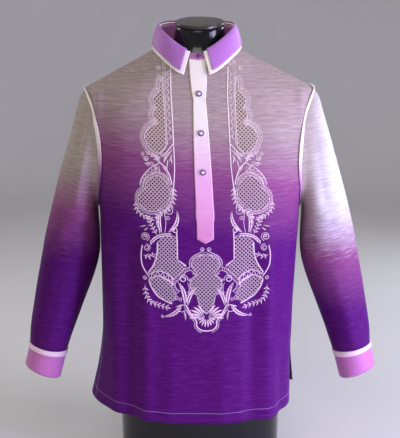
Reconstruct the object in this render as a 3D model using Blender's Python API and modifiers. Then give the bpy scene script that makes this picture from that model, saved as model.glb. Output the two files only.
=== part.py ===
"""A long-sleeved formal shirt in sheer cloth, buttoned to the chest, on a limbless display torso.

Metres, +Z up, the chest facing -Y. The torso's foot stands on z = 0 and the shirt hangs round it.
Every cloth piece is a thin wall lofted over one family of body rings, so neighbours share their
seams, and what lies on a piece is made from that piece's own points, moved out.
"""

import math

import bmesh
import bpy
import numpy as np

# Driving sizes, in metres. Heights are above the hem's front centre unless they say otherwise.
HEM_HEIGHT = 0.115  # of the hem above the torso's foot
LENGTH = 0.746  # from the hem to the neck point of the shoulder
UNDERARM = 0.430
SHOULDER_TIP = 0.667
SLIT = 0.165  # side slit, up from the hem
CLOTH = 0.0015  # wall of the sheer panels
TRIM = 0.0012  # wall of bands, placket, collar and cuffs
GAP = 0.0004  # between pieces that lie on each other
SEAM = 0.0006  # between pieces that meet edge to edge

ARMHOLE_DEPTH = 0.073  # half of the armhole's front-to-back size
ARMHOLE_EASE = 0.0018  # how far inside the armhole the sleeve starts
BAND_WIDTH = 0.010  # armhole band, on the body side
BAND_GAP = 0.0010  # under it, where the panel is most curved
BAND_TIP_LIFT = 0.0012  # more room over the shoulder's ridge

NECK_SIDE = 0.0790  # the neckline's side, front and back reach, in plan
NECK_FRONT = 0.084
NECK_BACK_RISE = 0.010
STAND_LEAN = 0.93
STAND_LAP = 0.09  # radians to each side of the front centre

PLACKET_WIDTH = 0.033
PLACKET_END = 0.373  # its pointed end
PLACKET_POINT = 0.009
BUTTON_DIAMETER = 0.0115
BUTTON_HEIGHTS = (0.659, 0.586, 0.512)
NECK_BUTTON_DIAMETER = 0.0095

CUFF_TRIM = 0.20  # share of the cuff under its trim
CUFF_SEAM = math.radians(290)  # where the cuff's ends lap
CUFF_LAP = math.radians(40)

COLLAR_BORDER = 0.006  # cream left showing along the outer edge, and along the front edges
COLLAR_FRONT_BORDER = 0.010

# Body rings of the shirt, with half width, depths and squareness
RING_COLUMNS = ("height", "half_width", "front", "back", "square", "centre_x")
RINGS = (
    (-0.030, 0.1995, 0.128, 0.127, 2.6, -0.004),
    (0.000, 0.1985, 0.128, 0.126, 2.6, -0.005),
    (0.110, 0.1975, 0.129, 0.123, 2.6, -0.006),
    (0.210, 0.1985, 0.130, 0.120, 2.6, -0.005),
    (0.318, 0.2010, 0.131, 0.120, 2.7, -0.003),
    (0.430, 0.2040, 0.131, 0.123, 2.8, -0.001),
    (0.547, 0.2130, 0.127, 0.126, 2.8, 0.000),
    (0.610, 0.2230, 0.119, 0.122, 2.5, 0.000),
    (0.645, 0.2310, 0.110, 0.114, 2.3, 0.000),
    (0.667, 0.2290, 0.103, 0.106, 2.15, -0.001),
    (0.690, 0.1850, 0.097, 0.097, 2.0, -0.002),
    (0.716, 0.1360, 0.086, 0.086, 1.9, -0.004),
    (0.735, 0.0985, 0.080, 0.076, 1.9, -0.006),
    (0.746, 0.0790, 0.077, 0.070, 1.9, -0.0065),
    (0.757, 0.0735, 0.075, 0.066, 1.9, -0.0065),
    (0.780, 0.0715, 0.073, 0.062, 1.9, -0.0065),
)

# Where the front's centre line runs, and how far the side seams turn forward
TWIST_COLUMNS = ("height", "centre_line", "seam_turn")
TWIST = (
    (0.000, 0.0130, 0.017),
    (0.200, 0.0130, 0.014),
    (0.373, 0.0107, 0.004),
    (0.430, 0.0096, 0.000),
    (0.512, 0.0057, 0.000),
    (0.586, 0.0019, 0.000),
    (0.659, -0.0019, 0.000),
    (0.746, -0.0065, 0.000),
)

# The hem's rise at each lower corner of a panel, and how far that corner swings out
CORNER_COLUMNS = ("panel", "side", "rise", "swing_x", "swing_y")
CORNERS = (
    ("front", -1, 0.030, -0.034, -0.006),
    ("front", 1, 0.022, -0.004, -0.004),
    ("back", -1, 0.030, -0.006, 0.012),
    ("back", 1, 0.036, 0.012, 0.010),
)

# Sleeve and cuff: outer and inner profile in front view, and half depth, going down
TUBE_COLUMNS = ("along", "outer_x", "outer_z", "inner_x", "inner_z", "depth", "shift_y")
SLEEVE = (
    (0.00, 0.2270, 0.6655, 0.2045, 0.4325, 0.0714, 0.000),
    (0.03, 0.2370, 0.6560, 0.2118, 0.4305, 0.0700, 0.000),
    (0.08, 0.2450, 0.6330, 0.2133, 0.4240, 0.0690, 0.001),
    (0.16, 0.2560, 0.5950, 0.2120, 0.4110, 0.0680, 0.002),
    (0.27, 0.2740, 0.5400, 0.2100, 0.3900, 0.0665, 0.003),
    (0.40, 0.2950, 0.4700, 0.2085, 0.3600, 0.0640, 0.004),
    (0.55, 0.3177, 0.3840, 0.2085, 0.3180, 0.0605, 0.004),
    (0.70, 0.3350, 0.2980, 0.2290, 0.2600, 0.0560, 0.000),
    (0.84, 0.3500, 0.2150, 0.2530, 0.2010, 0.0500, -0.007),
    (0.93, 0.3565, 0.1700, 0.2690, 0.1560, 0.0445, -0.013),
    (1.00, 0.3570, 0.1410, 0.2805, 0.1220, 0.0405, -0.016),
)
CUFF = (
    (0.00, 0.3573, 0.1402, 0.2807, 0.1208, 0.0405, -0.016),
    (0.20, 0.3597, 0.1310, 0.2837, 0.1090, 0.0401, -0.016),
    (0.60, 0.3642, 0.1120, 0.2896, 0.0850, 0.0393, -0.017),
    (1.00, 0.3690, 0.0935, 0.2960, 0.0615, 0.0385, -0.018),
)

# Collar, from the front edge (share 0) to the centre back (share 1). Turns are in degrees.
COLLAR_COLUMNS = ("share", "fold_turn", "fold_z", "edge_turn", "edge_z", "edge_out")
COLLAR = (
    (0.00, 8.5, 0.7340, 13.5, 0.6945, 0.0200),
    (0.09, 20.0, 0.7400, 23.0, 0.7010, 0.0215),
    (0.25, 45.0, 0.7600, 47.0, 0.7260, 0.0165),
    (0.50, 90.0, 0.7860, 90.0, 0.7490, 0.0110),
    (0.75, 135.0, 0.7930, 135.0, 0.7540, 0.0115),
    (1.00, 180.0, 0.7960, 180.0, 0.7570, 0.0120),
)
COLLAR_SHARES = (0.0, 0.045, 0.09, 0.16, 0.25, 0.33, 0.415, 0.50, 0.60, 0.70, 0.80, 0.90, 1.0)
# Its section: how far out and up from the stand's top, then the share of the way to the edge
FOLD_COLUMNS = ("out", "up", "share")
FOLD = (
    (0.0004, 0.0018, 0.0),
    (0.0024, 0.0042, 0.0),
    (0.0052, 0.0030, 0.0),
    (0.0064, 0.0000, 0.33),
    (0.0060, 0.0000, 0.62),
)

# Display torso: heights above its foot
FORM_COLUMNS = ("height", "half_width", "front", "back", "square", "centre_y")
FORM = (
    (0.000, 0.1640, 0.108, 0.104, 2.3, 0.000),
    (0.012, 0.1675, 0.111, 0.107, 2.3, 0.000),
    (0.200, 0.1700, 0.113, 0.108, 2.3, 0.000),
    (0.340, 0.1640, 0.108, 0.098, 2.3, 0.000),
    (0.470, 0.1720, 0.112, 0.100, 2.4, 0.000),
    (0.600, 0.1840, 0.114, 0.108, 2.5, 0.000),
    (0.700, 0.1990, 0.107, 0.108, 2.4, 0.000),
    (0.745, 0.2090, 0.098, 0.101, 2.2, 0.000),
    (0.772, 0.2080, 0.088, 0.091, 2.0, 0.000),
    (0.795, 0.1780, 0.080, 0.080, 1.9, 0.000),
    (0.821, 0.1300, 0.072, 0.071, 1.9, 0.000),
    (0.842, 0.0900, 0.064, 0.060, 1.9, -0.001),
    (0.858, 0.0620, 0.057, 0.052, 2.0, -0.003),
    (0.884, 0.0510, 0.051, 0.047, 2.0, -0.006),
    (0.907, 0.0480, 0.0490, 0.047, 2.0, -0.010),
)
CAP_TILT = math.radians(13)  # the neck's top leans forward
CAP_THICK = 0.007
CAP_OVERHANG = 0.0015

# Mesh counts
SIDE_COLUMNS = 9  # of a panel, between its centre strip and its armhole strip
BODY_ROWS = 8
ARMHOLE_STEPS = 12
SHOULDER_ROWS = 4
RING_SAMPLES = 48

COLOURS = {
    "sheer": ((0.46, 0.33, 0.47), 0.62),
    "cream": ((0.87, 0.82, 0.72), 0.55),
    "mauve": ((0.42, 0.16, 0.52), 0.55),
    "button": ((0.14, 0.02, 0.17), 0.25),
    "form": ((0.008, 0.008, 0.010), 0.12),
    "cap": ((0.045, 0.025, 0.02), 0.35),
}


# Tables and curves


def smooth(pairs, at):
    """A smooth curve through (key, value) pairs that never overshoots them."""
    keys = np.array([pair[0] for pair in pairs], float)
    values = np.array([pair[1] for pair in pairs], float)
    at = min(max(at, keys[0]), keys[-1])
    steps = np.diff(keys)
    slopes = np.diff(values) / steps
    tangents = np.concatenate([[slopes[0]], np.zeros(len(keys) - 2), [slopes[-1]]])
    for i in range(1, len(keys) - 1):
        before, after = slopes[i - 1], slopes[i]
        if before * after > 0:
            left, right = 2 * steps[i] + steps[i - 1], steps[i] + 2 * steps[i - 1]
            tangents[i] = (left + right) / (left / before + right / after)
    i = min(int(np.searchsorted(keys, at, side="right")) - 1, len(steps) - 1)
    t = (at - keys[i]) / steps[i]
    return float(
        values[i] * (1 + 2 * t) * (1 - t) ** 2
        + tangents[i] * steps[i] * t * (1 - t) ** 2
        + values[i + 1] * t * t * (3 - 2 * t)
        + tangents[i + 1] * steps[i] * t * t * (t - 1)
    )


def table(rows, columns):
    """Each named column as a smooth function of the first one."""
    return {
        name: lambda at, p=[(row[0], row[i]) for row in rows]: smooth(p, at)
        for i, name in enumerate(columns)
        if i
    }


ring = table(RINGS, RING_COLUMNS)
twist = table(TWIST, TWIST_COLUMNS)
sleeve = table(SLEEVE, TUBE_COLUMNS)
cuff = table(CUFF, TUBE_COLUMNS)
collar = table(COLLAR, COLLAR_COLUMNS)
form = table(FORM, FORM_COLUMNS)


def ease(low, high, value):
    """0 below low, 1 above high and smooth between."""
    t = min(max((value - low) / (high - low), 0.0), 1.0)
    return t * t * (3 - 2 * t)


def mix(a, b, share):
    return a + (b - a) * share


# The body surface


def quarter(half_width, depth, square):
    """A quarter of a squarish ring, from its middle to its side, and the length along it."""
    turn = np.linspace(0, math.pi / 2, RING_SAMPLES)
    x = half_width * np.sin(turn) ** (2 / square)
    y = depth * np.cos(turn) ** (2 / square)
    length = np.concatenate([[0], np.cumsum(np.hypot(np.diff(x), np.diff(y)))])
    return x, y, length


def quarter_at(height, depth_name):
    return quarter(ring["half_width"](height), ring[depth_name](height), ring["square"](height))


def body_point(offset, height, panel):
    """A point of the body, this far round from the middle of its front or back."""
    depth_name, other = ("front", "back") if panel == "front" else ("back", "front")
    x, y, length = quarter_at(height, depth_name)
    reach = abs(offset)
    if reach > length[-1]:
        x, y, length = quarter_at(height, other)
        reach = 2 * length[-1] - (reach - quarter_at(height, depth_name)[2][-1]) - length[-1]
        y = -y
    sign = -1 if panel == "front" else 1
    return np.array(
        [
            ring["centre_x"](height) + math.copysign(1, offset) * np.interp(reach, length, x),
            sign * np.interp(reach, length, y),
            HEM_HEIGHT + height,
        ]
    )


def offset_at(height, x, panel):
    """How far round from the panel's middle the body reaches this x."""
    xs, _, length = quarter_at(height, panel)
    return float(np.interp(abs(x), xs, length))


def armhole_x(height, y):
    depth, square = ring["front" if y < 0 else "back"](height), ring["square"](height)
    return ring["half_width"](height) * (1 - (abs(y) / depth) ** square) ** (1 / square)


def armhole_point(side, turn, grow=0.0):
    """A point of the armhole: turn 0 is the shoulder tip, 90 degrees the front, 180 the underarm."""
    middle = (SHOULDER_TIP + UNDERARM) / 2
    height = middle + ((SHOULDER_TIP - UNDERARM) / 2 + grow) * math.cos(turn)
    y = -(ARMHOLE_DEPTH + grow) * math.sin(turn)
    x = ring["centre_x"](height) + side * armhole_x(height, y)
    return np.array([x, y, HEM_HEIGHT + height])


def panel_reach(height, panel):
    """How far round a panel goes from its middle: to the side seam, the armhole or the shoulder seam."""
    middle, half = (SHOULDER_TIP + UNDERARM) / 2, (SHOULDER_TIP - UNDERARM) / 2
    inside = 1 - ((height - middle) / half) ** 2
    if inside <= 1e-6:
        return quarter_at(height, panel)[2][-1]
    y = ARMHOLE_DEPTH * math.sqrt(inside) * (-1 if panel == "front" else 1)
    return offset_at(height, armhole_x(height, y), panel)


def neckline(panel, share):
    """Offset and height of the neckline, share 0 at the panel's middle and 1 at the shoulder."""
    turn = share * math.pi / 2
    x = NECK_SIDE * math.sin(turn)
    if panel == "back":
        height = LENGTH + NECK_BACK_RISE * (1 - share**2)
        x = ring["half_width"](height) * math.sin(turn)
        return offset_at(height, x, panel), height
    y = NECK_FRONT * math.cos(turn)
    low, high = 0.700, LENGTH
    for _ in range(30):
        height = (low + high) / 2
        half, square = ring["half_width"](height), ring["square"](height)
        reach = ring[panel](height) * max(0.0, 1 - (x / half) ** square) ** (1 / square)
        low, high = (height, high) if reach > y else (low, height)
    return offset_at(height, x, panel), height


def neckline_reach(panel, share, height):
    """How far round the body goes at the neckline's height, from the panel's middle to its side."""
    return quarter_at(height if share < 1 else LENGTH, panel)[2][-1]


# Panels


def row_heights():
    """Heights of the panel rows at their side edges: body, armhole and shoulder."""
    body = [UNDERARM * i / BODY_ROWS for i in range(BODY_ROWS)]
    middle, half = (SHOULDER_TIP + UNDERARM) / 2, (SHOULDER_TIP - UNDERARM) / 2
    arm = [middle - half * math.cos(math.pi * i / ARMHOLE_STEPS) for i in range(ARMHOLE_STEPS + 1)]
    top = [mix(SHOULDER_TIP, LENGTH, (i + 1) / SHOULDER_ROWS) for i in range(SHOULDER_ROWS)]
    return body + arm + top


def column_shares(length):
    """Column positions from the middle (0) to the edge (1): a placket strip, an even run, a band strip."""
    first, last = PLACKET_WIDTH / 2 / length, 1 - BAND_WIDTH / length
    run = [mix(first, last, i / SIDE_COLUMNS) for i in range(SIDE_COLUMNS + 1)]
    return [0.0, *run, 1.0]


def panel_point(panel, side, column, row_height):
    """One grid point of the front or back, by its column from the middle and its row's edge height."""
    corner = next(c for c in CORNERS if c[0] == panel and c[1] == side)
    corner = dict(zip(CORNER_COLUMNS, corner))
    share = row_height / LENGTH
    reach = panel_reach(row_height, panel)
    line = 0.0
    if panel == "front":
        line = twist["centre_line"](row_height) - ring["centre_x"](row_height)
    u = column_shares(reach - side * line)[column]
    top_offset, top = neckline(panel, u)
    lift = corner["rise"] * u**2.5 * max(0.0, 1 - share / 0.40) ** 1.5
    height = share * top + lift
    reach = panel_reach(height if u < 1 else row_height, panel)
    if panel == "front":
        line = twist["centre_line"](height) - ring["centre_x"](height)
    turn = twist["seam_turn"](height) * u**2 * (1 if panel == "front" else -1)
    top_share = top_offset / neckline_reach(panel, u, top)
    offset = mix(u, top_share, ease(0.50, 0.73, row_height) if row_height < LENGTH else 1) * reach
    offset = side * (offset - SEAM / 2 * u**4) + (1 - u) * line + turn
    point = body_point(offset, height, panel)
    swing = ease(0.62, 1.0, u) * max(0.0, 1 - height / SLIT) ** 1.4
    return point + np.array([corner["swing_x"], corner["swing_y"], 0]) * swing


def panel_grid(panel):
    """A panel's points: rows from hem to neck, columns from -X to +X."""
    last = SIDE_COLUMNS + 2
    order = [(-1, c) for c in range(last, 0, -1)] + [(1, c) for c in range(last + 1)]
    return np.array([[panel_point(panel, s, c, h) for s, c in order] for h in row_heights()])


def normals_of(points, outward):
    """How far each grid point moves for its sheet to move out by one, away from the given points."""
    rows, columns = points.shape[:2]
    made = lattice(points, join=False)
    made.normal_update()
    moves = [np.array(v.normal) * min(v.calc_shell_factor(), 1.5) for v in made.verts]
    made.free()
    normals = np.array(moves).reshape(rows, columns, 3)
    return normals if ((points - outward) * normals).sum() > 0 else -normals


# Meshes


def material_of(name):
    found = bpy.data.materials.get(name)
    if found:
        return found
    colour, roughness = COLOURS[name]
    made = bpy.data.materials.new(name)
    made.use_nodes = True
    shader = made.node_tree.nodes["Principled BSDF"]
    shader.inputs["Base Color"].default_value = (*colour, 1)
    shader.inputs["Roughness"].default_value = roughness
    shader.inputs["Metallic"].default_value = 0
    return made


def finish(name, made, material, where, centre):
    """Makes the named object, faces out and smooth but for its sharp edges."""
    made.normal_update()
    away = sum(
        (f.calc_center_median() - centre(f.calc_center_median())).dot(f.normal) * f.calc_area()
        for f in made.faces
    )
    if away < 0:
        bmesh.ops.reverse_faces(made, faces=made.faces)
    mesh = bpy.data.meshes.new(name)
    made.to_mesh(mesh)
    made.free()
    mesh.materials.append(material_of(material))
    mesh.shade_smooth()
    mesh.set_sharp_from_angle(angle=math.radians(40))
    piece = bpy.data.objects.new(name, mesh)
    where.objects.link(piece)
    return piece


def lattice(points, closed=False, join=True):
    """An open sheet through a grid of points, closed round its rows if asked."""
    if closed:
        points = np.concatenate([points, points[:, :1]], axis=1)
    rows, columns = points.shape[:2]
    made = bmesh.new()
    bmesh.ops.create_grid(made, x_segments=columns - 1, y_segments=rows - 1, size=1)
    for vert, point in zip(made.verts, points.reshape(-1, 3)):
        vert.co = point
    if join:
        bmesh.ops.remove_doubles(made, verts=made.verts, dist=0.00005)
    return made


def from_axis(point):
    """The body's axis at a point's height."""
    return point * 0 + type(point)((0, 0, point.z))


def wall(name, made, thickness, material, where, centre=from_axis):
    """Turns an open sheet into a closed wall, half to each side of it."""
    piece = finish(name, made, material, where, centre)
    thick = piece.modifiers.new("Wall", "SOLIDIFY")
    thick.thickness = thickness
    thick.offset = 0
    thick.use_even_offset = True
    return piece


# Body pieces


def make_front(points, where):
    """The front: whole below the placket's end and split down its middle above it."""
    made = lattice(points)
    middle = points[:, points.shape[1] // 2]
    start = opening_row(points)
    cut = [v for v in made.verts if np.linalg.norm(middle[start:] - np.array(v.co), axis=1).min() < 1e-5]
    inner = set(cut)
    edges = [e for e in made.edges if e.verts[0] in inner and e.verts[1] in inner]
    split = bmesh.ops.split_edges(made, edges=edges)
    for vert in {v for edge in split["edges"] for v in edge.verts}:
        if np.linalg.norm(middle[start] - np.array(vert.co)) > 1e-5:
            away = sum(f.calc_center_median().x for f in vert.link_faces) / len(vert.link_faces)
            vert.co.x += math.copysign(SEAM / 2, away - vert.co.x)
    wall("front", made, CLOTH, "sheer", where)


def opening_row(points):
    """The first row of the front that the placket covers from side to side."""
    middle = points[:, points.shape[1] // 2, 2] - HEM_HEIGHT
    return int(np.searchsorted(middle, PLACKET_END + PLACKET_POINT))


def make_placket(points, normals, where):
    """The strip over the front's opening, down to its pointed end."""
    middle, start = points.shape[1] // 2, opening_row(points)
    strip = points[start - 1 :, middle - 1 : middle + 2].copy()
    out = normals[start - 1 :, middle - 1 : middle + 2].copy()
    for column, drop in ((0, PLACKET_POINT), (1, 0.0), (2, PLACKET_POINT)):
        low, high = strip[0, column, 2], strip[1, column, 2]
        share = (HEM_HEIGHT + PLACKET_END + drop - low) / (high - low)
        strip[0, column] = mix(strip[0, column], strip[1, column], share)
    strip += out * ((CLOTH + TRIM) / 2 + GAP)
    wall("placket", lattice(strip), TRIM, "cream", where)
    return strip


def make_band(name, side, grids, where):
    """The cream band over the armhole seam: the outer strips of both panels, joined over the ends."""
    heights = row_heights()
    low, high = BODY_ROWS, BODY_ROWS + ARMHOLE_STEPS
    edge, inner = (0, 1) if side < 0 else (-1, -2)
    lift = (CLOTH + TRIM) / 2 + BAND_GAP
    rise = [lift + BAND_TIP_LIFT * ease(high - 3, high, row) for row in range(len(heights))]
    rise = np.array(rise)[:, None, None]
    front, back = (points + normals * rise for points, normals in grids.values())

    def joined(row, step=0):
        """A point over the seam between the panels, at a row or a band's width past it."""
        share = BAND_WIDTH / abs(heights[row + step] - heights[row]) if step else 0
        sides = [mix(p[row, edge], p[row + step, edge], share) for p, _ in grids.values()]
        outs = [n[row, edge] for _, n in grids.values()]
        outs = [out / np.linalg.norm(out) for out in outs]
        out = (outs[0] + outs[1]) / np.linalg.norm(outs[0] + outs[1])
        return (sides[0] + sides[1]) / 2 + out * rise[row + step, 0] / max(0.5, out @ outs[0])

    tip, pit = joined(high), joined(low)
    pairs = [(pit, joined(low, -1)), (pit, front[low, inner])]
    pairs += [(front[r, edge], front[r, inner]) for r in range(low + 1, high)]
    pairs += [(tip, front[high, inner]), (tip, joined(high, 1)), (tip, back[high, inner])]
    pairs += [(back[r, edge], back[r, inner]) for r in range(high - 1, low, -1)]
    pairs += [(pit, back[low, inner])]
    points = np.array(pairs).transpose(1, 0, 2)
    points[0] += (points[1] - points[0]) * 0.08
    wall(name, lattice(points, closed=True), TRIM, "cream", where)


# Sleeves and cuffs


def tube_point(shape, side, turn, along):
    """A point of the sleeve or cuff: turn as for the armhole, along its length."""
    outer = np.array([shape["outer_x"](along), 0, shape["outer_z"](along)])
    inner = np.array([shape["inner_x"](along), 0, shape["inner_z"](along)])
    depth = np.array([0, -shape["depth"](along), 0])
    point = (outer + inner) / 2 + (outer - inner) / 2 * math.cos(turn) + depth * math.sin(turn)
    point[1] += shape["shift_y"](along)
    point[2] += HEM_HEIGHT
    return point * (side, 1, 1)


def sleeve_point(side, turn, along):
    point = tube_point(sleeve, side, turn, along)
    fade = 1 - ease(0, 0.20, along)
    hole = armhole_point(side, turn, -ARMHOLE_EASE)
    return point + (hole - tube_point(sleeve, side, turn, 0)) * fade


def turns(count):
    return [2 * math.pi * i / count for i in range(count)]


def make_sleeve(name, side, where):
    rows = [row[0] for row in SLEEVE]
    points = np.array([[sleeve_point(side, t, a) for t in turns(2 * ARMHOLE_STEPS)] for a in rows])
    made = lattice(points, closed=True)
    wall(name, made, CLOTH, "sheer", where, centre=tube_centre(sleeve, side))


def tube_centre(shape, side):
    """The tube's centre line, as the point from which its faces look away."""

    def centre(point):
        along = max(0.0, min(1.0, (SLEEVE[0][2] + HEM_HEIGHT - point.z) / 0.55))
        if shape is cuff:
            along = 0.5
        middle = tube_point(shape, side, 0, along) + tube_point(shape, side, math.pi, along)
        return type(point)((middle[0] / 2, middle[1] / 2, point.z))

    return centre


def cuff_points(side):
    """The cuff as one strip whose ends lap, with a little more than a full turn."""
    steps = 30
    turns_round = [CUFF_SEAM + (2 * math.pi + CUFF_LAP) * i / (steps - 1) for i in range(steps)]
    rows = [row[0] for row in CUFF]
    points = np.array([[tube_point(cuff, side, t, a) for t in turns_round] for a in rows])
    middle = (points[:, :26].max(axis=1) + points[:, :26].min(axis=1)) / 2
    normals = normals_of(points, middle[:, None])
    over = np.array([ease(2 * math.pi - 0.7, 2 * math.pi - 0.1, t - CUFF_SEAM) for t in turns_round])
    points = points + normals * (over * (TRIM + GAP + 0.0004) - 0.0001)[None, :, None]
    return points, normals


def make_cuff(hand, side, where):
    points, normals = cuff_points(side)
    centre = tube_centre(cuff, side)
    wall(f"cuff_{hand}", lattice(points), TRIM, "mauve", where, centre)
    # The trim covers the outer turn only, up to where the cuff starts to lap
    trim = (points + normals * (TRIM + GAP))[:2, 4:]
    wall(f"cuff_trim_{hand}", lattice(trim), TRIM, "cream", where, centre)
    lap = points.shape[1] - 3
    spot, out = points[2, lap], normals[2, lap]
    make_button(f"cuff_button_{hand}", spot + out * (TRIM / 2 + GAP), out, BUTTON_DIAMETER, where)


# Collar


def neck_ring(turn):
    """A point of the neckline: turn 0 is the front centre and 180 degrees the back."""
    side = 1 if math.sin(turn) >= 0 else -1
    turn = abs(math.atan2(math.sin(turn), math.cos(turn)))
    panel = "front" if turn <= math.pi / 2 else "back"
    share = turn / (math.pi / 2) if panel == "front" else (math.pi - turn) / (math.pi / 2)
    offset, height = neckline(panel, share)
    line = twist["centre_line"](height) - ring["centre_x"](height) if panel == "front" else 0
    return body_point(side * offset + (1 - share) * line, height, panel)


def neck_axis(height):
    return np.array([ring["centre_x"](LENGTH), 0, HEM_HEIGHT + height])


def fold_height(turn):
    """Height of the collar's fold at a turn, which is also the top of its stand."""
    pairs = [(row[1], row[2]) for row in COLLAR]
    return smooth(pairs, abs(math.degrees(math.atan2(math.sin(turn), math.cos(turn)))))


def stand_point(turn, level):
    """The stand: level 0 is its foot on the neckline and 1 its top."""
    foot = neck_ring(turn)
    axis = neck_axis(0)
    lean = foot.copy()
    lean[:2] = axis[:2] + (foot[:2] - axis[:2]) * STAND_LEAN
    lean[2] = HEM_HEIGHT + fold_height(turn)
    foot[2] += TRIM
    return mix(foot, lean, level)


def make_stand(where):
    """The stand: a strip round the neck whose front ends lap."""
    full, start = 2 * math.pi, STAND_LAP + 0.06
    front = [-STAND_LAP, -STAND_LAP / 3, STAND_LAP / 3, STAND_LAP]
    run = [start + (full - 2 * start) * i / 42 for i in range(43)]
    round_ = front + run + [full + t for t in front]
    points = np.array([[stand_point(t, level) for t in round_] for level in (0, 0.5, 1)])
    axis = np.array([[neck_axis(0) * (1, 1, 0) + (0, 0, p[2]) for p in row] for row in points])
    normals = normals_of(points, axis)
    over = np.array([ease(full - start, full - STAND_LAP, t) for t in round_])
    points = points + normals * (over * (TRIM + GAP + 0.0003))[None, :, None]
    wall("collar_stand", lattice(points), TRIM, "mauve", where)
    return points, normals


def fall_points():
    """The turned-down collar: columns from one front edge round the back to the other."""
    columns = []
    for share in COLLAR_SHARES:
        fold = stand_point(math.radians(collar["fold_turn"](share)), 1)
        foot = neck_ring(math.radians(collar["edge_turn"](share)))
        axis = neck_axis(0) * (1, 1, 0)
        out = (fold - axis) * (1, 1, 0)
        out /= np.linalg.norm(out)
        away = (foot - axis) * (1, 1, 0)
        away /= np.linalg.norm(away)
        edge = foot + away * collar["edge_out"](share)
        edge[2] = HEM_HEIGHT + collar["edge_z"](share)
        crown = fold + out * FOLD[2][0] + np.array([0, 0, FOLD[2][1]])
        column = []
        for step in FOLD:
            point = fold + out * step[0] + np.array([0, 0, step[1]])
            if step[2]:
                point = mix(crown, edge, step[2]) + out * (step[0] - FOLD[2][0])
            column.append(point)
        border = COLLAR_BORDER / np.linalg.norm(edge - crown)
        column += [mix(crown, edge, 1 - border), edge]
        columns.append(column)
    half = np.array(columns).transpose(1, 0, 2)
    mirror = half[:, :-1].copy()
    mirror[..., 0] = 2 * neck_axis(0)[0] - mirror[..., 0]
    return np.concatenate([mirror, half[:, ::-1]], axis=1)


def make_collar(where):
    stand, stand_normals = make_stand(where)
    points = fall_points()
    axis = points * (0, 0, 1) + neck_axis(0) * (1, 1, 0)
    normals = normals_of(points, axis - (0, 0, 0.02))
    wall("collar_fall", lattice(points), TRIM, "cream", where)
    # The front border column: one border width in from each front edge
    top = (points + normals * (TRIM + 2 * GAP))[1:-1]
    top = top[:, 1:-1]
    wall("collar_top", lattice(top), TRIM, "mauve", where)
    spot, out = stand[1, -2], stand_normals[1, -2]
    make_button(
        "button_neck", spot + out * (TRIM / 2 + GAP), out, NECK_BUTTON_DIAMETER, where
    )


# Buttons


def make_button(name, foot, out, diameter, where):
    """A round button: flat back, rounded rim and a low dome in a dished face."""
    radius, steps = diameter / 2, 20
    profile = (
        (0.80, 0.00),
        (0.97, 0.06),
        (1.00, 0.16),
        (0.97, 0.27),
        (0.88, 0.33),
        (0.74, 0.31),
        (0.62, 0.24),
        (0.40, 0.27),
    )
    out = np.array(out) / np.linalg.norm(out)
    right = np.cross((0, 0, 1), out)
    right /= np.linalg.norm(right)
    up = np.cross(out, right)
    made = bmesh.new()
    rings = []
    for reach, rise in profile:
        circle = bmesh.ops.create_circle(made, segments=steps, radius=reach * radius)["verts"]
        for vert in circle:
            flat = vert.co.copy()
            vert.co = foot + right * flat.x + up * flat.y + out * rise * diameter
        rings.append(circle)
    for low, high in zip(rings, rings[1:]):
        for i in range(steps):
            j = (i + 1) % steps
            made.faces.new((low[i], low[j], high[j], high[i]))
    made.faces.new(rings[0][::-1])
    crown = made.verts.new(foot + out * 0.285 * diameter)
    for i in range(steps):
        made.faces.new((rings[-1][i], rings[-1][(i + 1) % steps], crown))
    bmesh.ops.recalc_face_normals(made, faces=made.faces)
    middle = foot + out * 0.15 * diameter
    finish(name, made, "button", where, lambda point: type(point)(middle))


# Display torso


def form_ring(row_height, count=40):
    made = []
    for turn in turns(count):
        square = form["square"](row_height)
        sx, sy = math.sin(turn), -math.cos(turn)
        depth = form["front"](row_height) if sy < 0 else form["back"](row_height)
        x = form["half_width"](row_height) * math.copysign(abs(sx) ** (2 / square), sx)
        y = depth * math.copysign(abs(sy) ** (2 / square), sy) + form["centre_y"](row_height)
        lean = ease(0.80, 0.907, row_height)
        z = row_height + lean * math.tan(CAP_TILT) * y
        made.append((x, y, z))
    return made


def make_form(where):
    heights = sorted({row[0] for row in FORM} | {0.06, 0.12, 0.27, 0.405, 0.535, 0.65, 0.725, 0.76, 0.784, 0.868})
    rings = np.array([form_ring(height) for height in heights])
    made = lattice(rings, closed=True)
    caps = [e for e in made.edges if e.is_boundary]
    bmesh.ops.contextual_create(made, geom=[e for e in caps if e.verts[0].co.z < 0.01])
    bmesh.ops.contextual_create(made, geom=[e for e in caps if e.verts[0].co.z > 0.5])
    bmesh.ops.recalc_face_normals(made, faces=made.faces)
    finish("form_torso", made, "form", where, from_axis)
    top = rings[-1]
    centre = top.mean(axis=0)
    up = np.array([0, -math.sin(CAP_TILT), math.cos(CAP_TILT)])
    levels = ((1.0, 0.0), (1.03, 0.001), (1.03, CAP_THICK - 0.001), (1.0, CAP_THICK))
    disc = np.array([centre + (top - centre) * grow + up * (rise + GAP) for grow, rise in levels])
    made = lattice(disc, closed=True)
    edges = [e for e in made.edges if e.is_boundary]
    middle = centre + up * (GAP + CAP_THICK / 2)
    for above in (True, False):
        loop = [e for e in edges if ((np.array(e.verts[0].co) - middle) @ up > 0) == above]
        bmesh.ops.contextual_create(made, geom=loop)
    bmesh.ops.recalc_face_normals(made, faces=made.faces)
    finish("form_neck_cap", made, "cap", where, lambda point: type(point)(middle))


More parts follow.
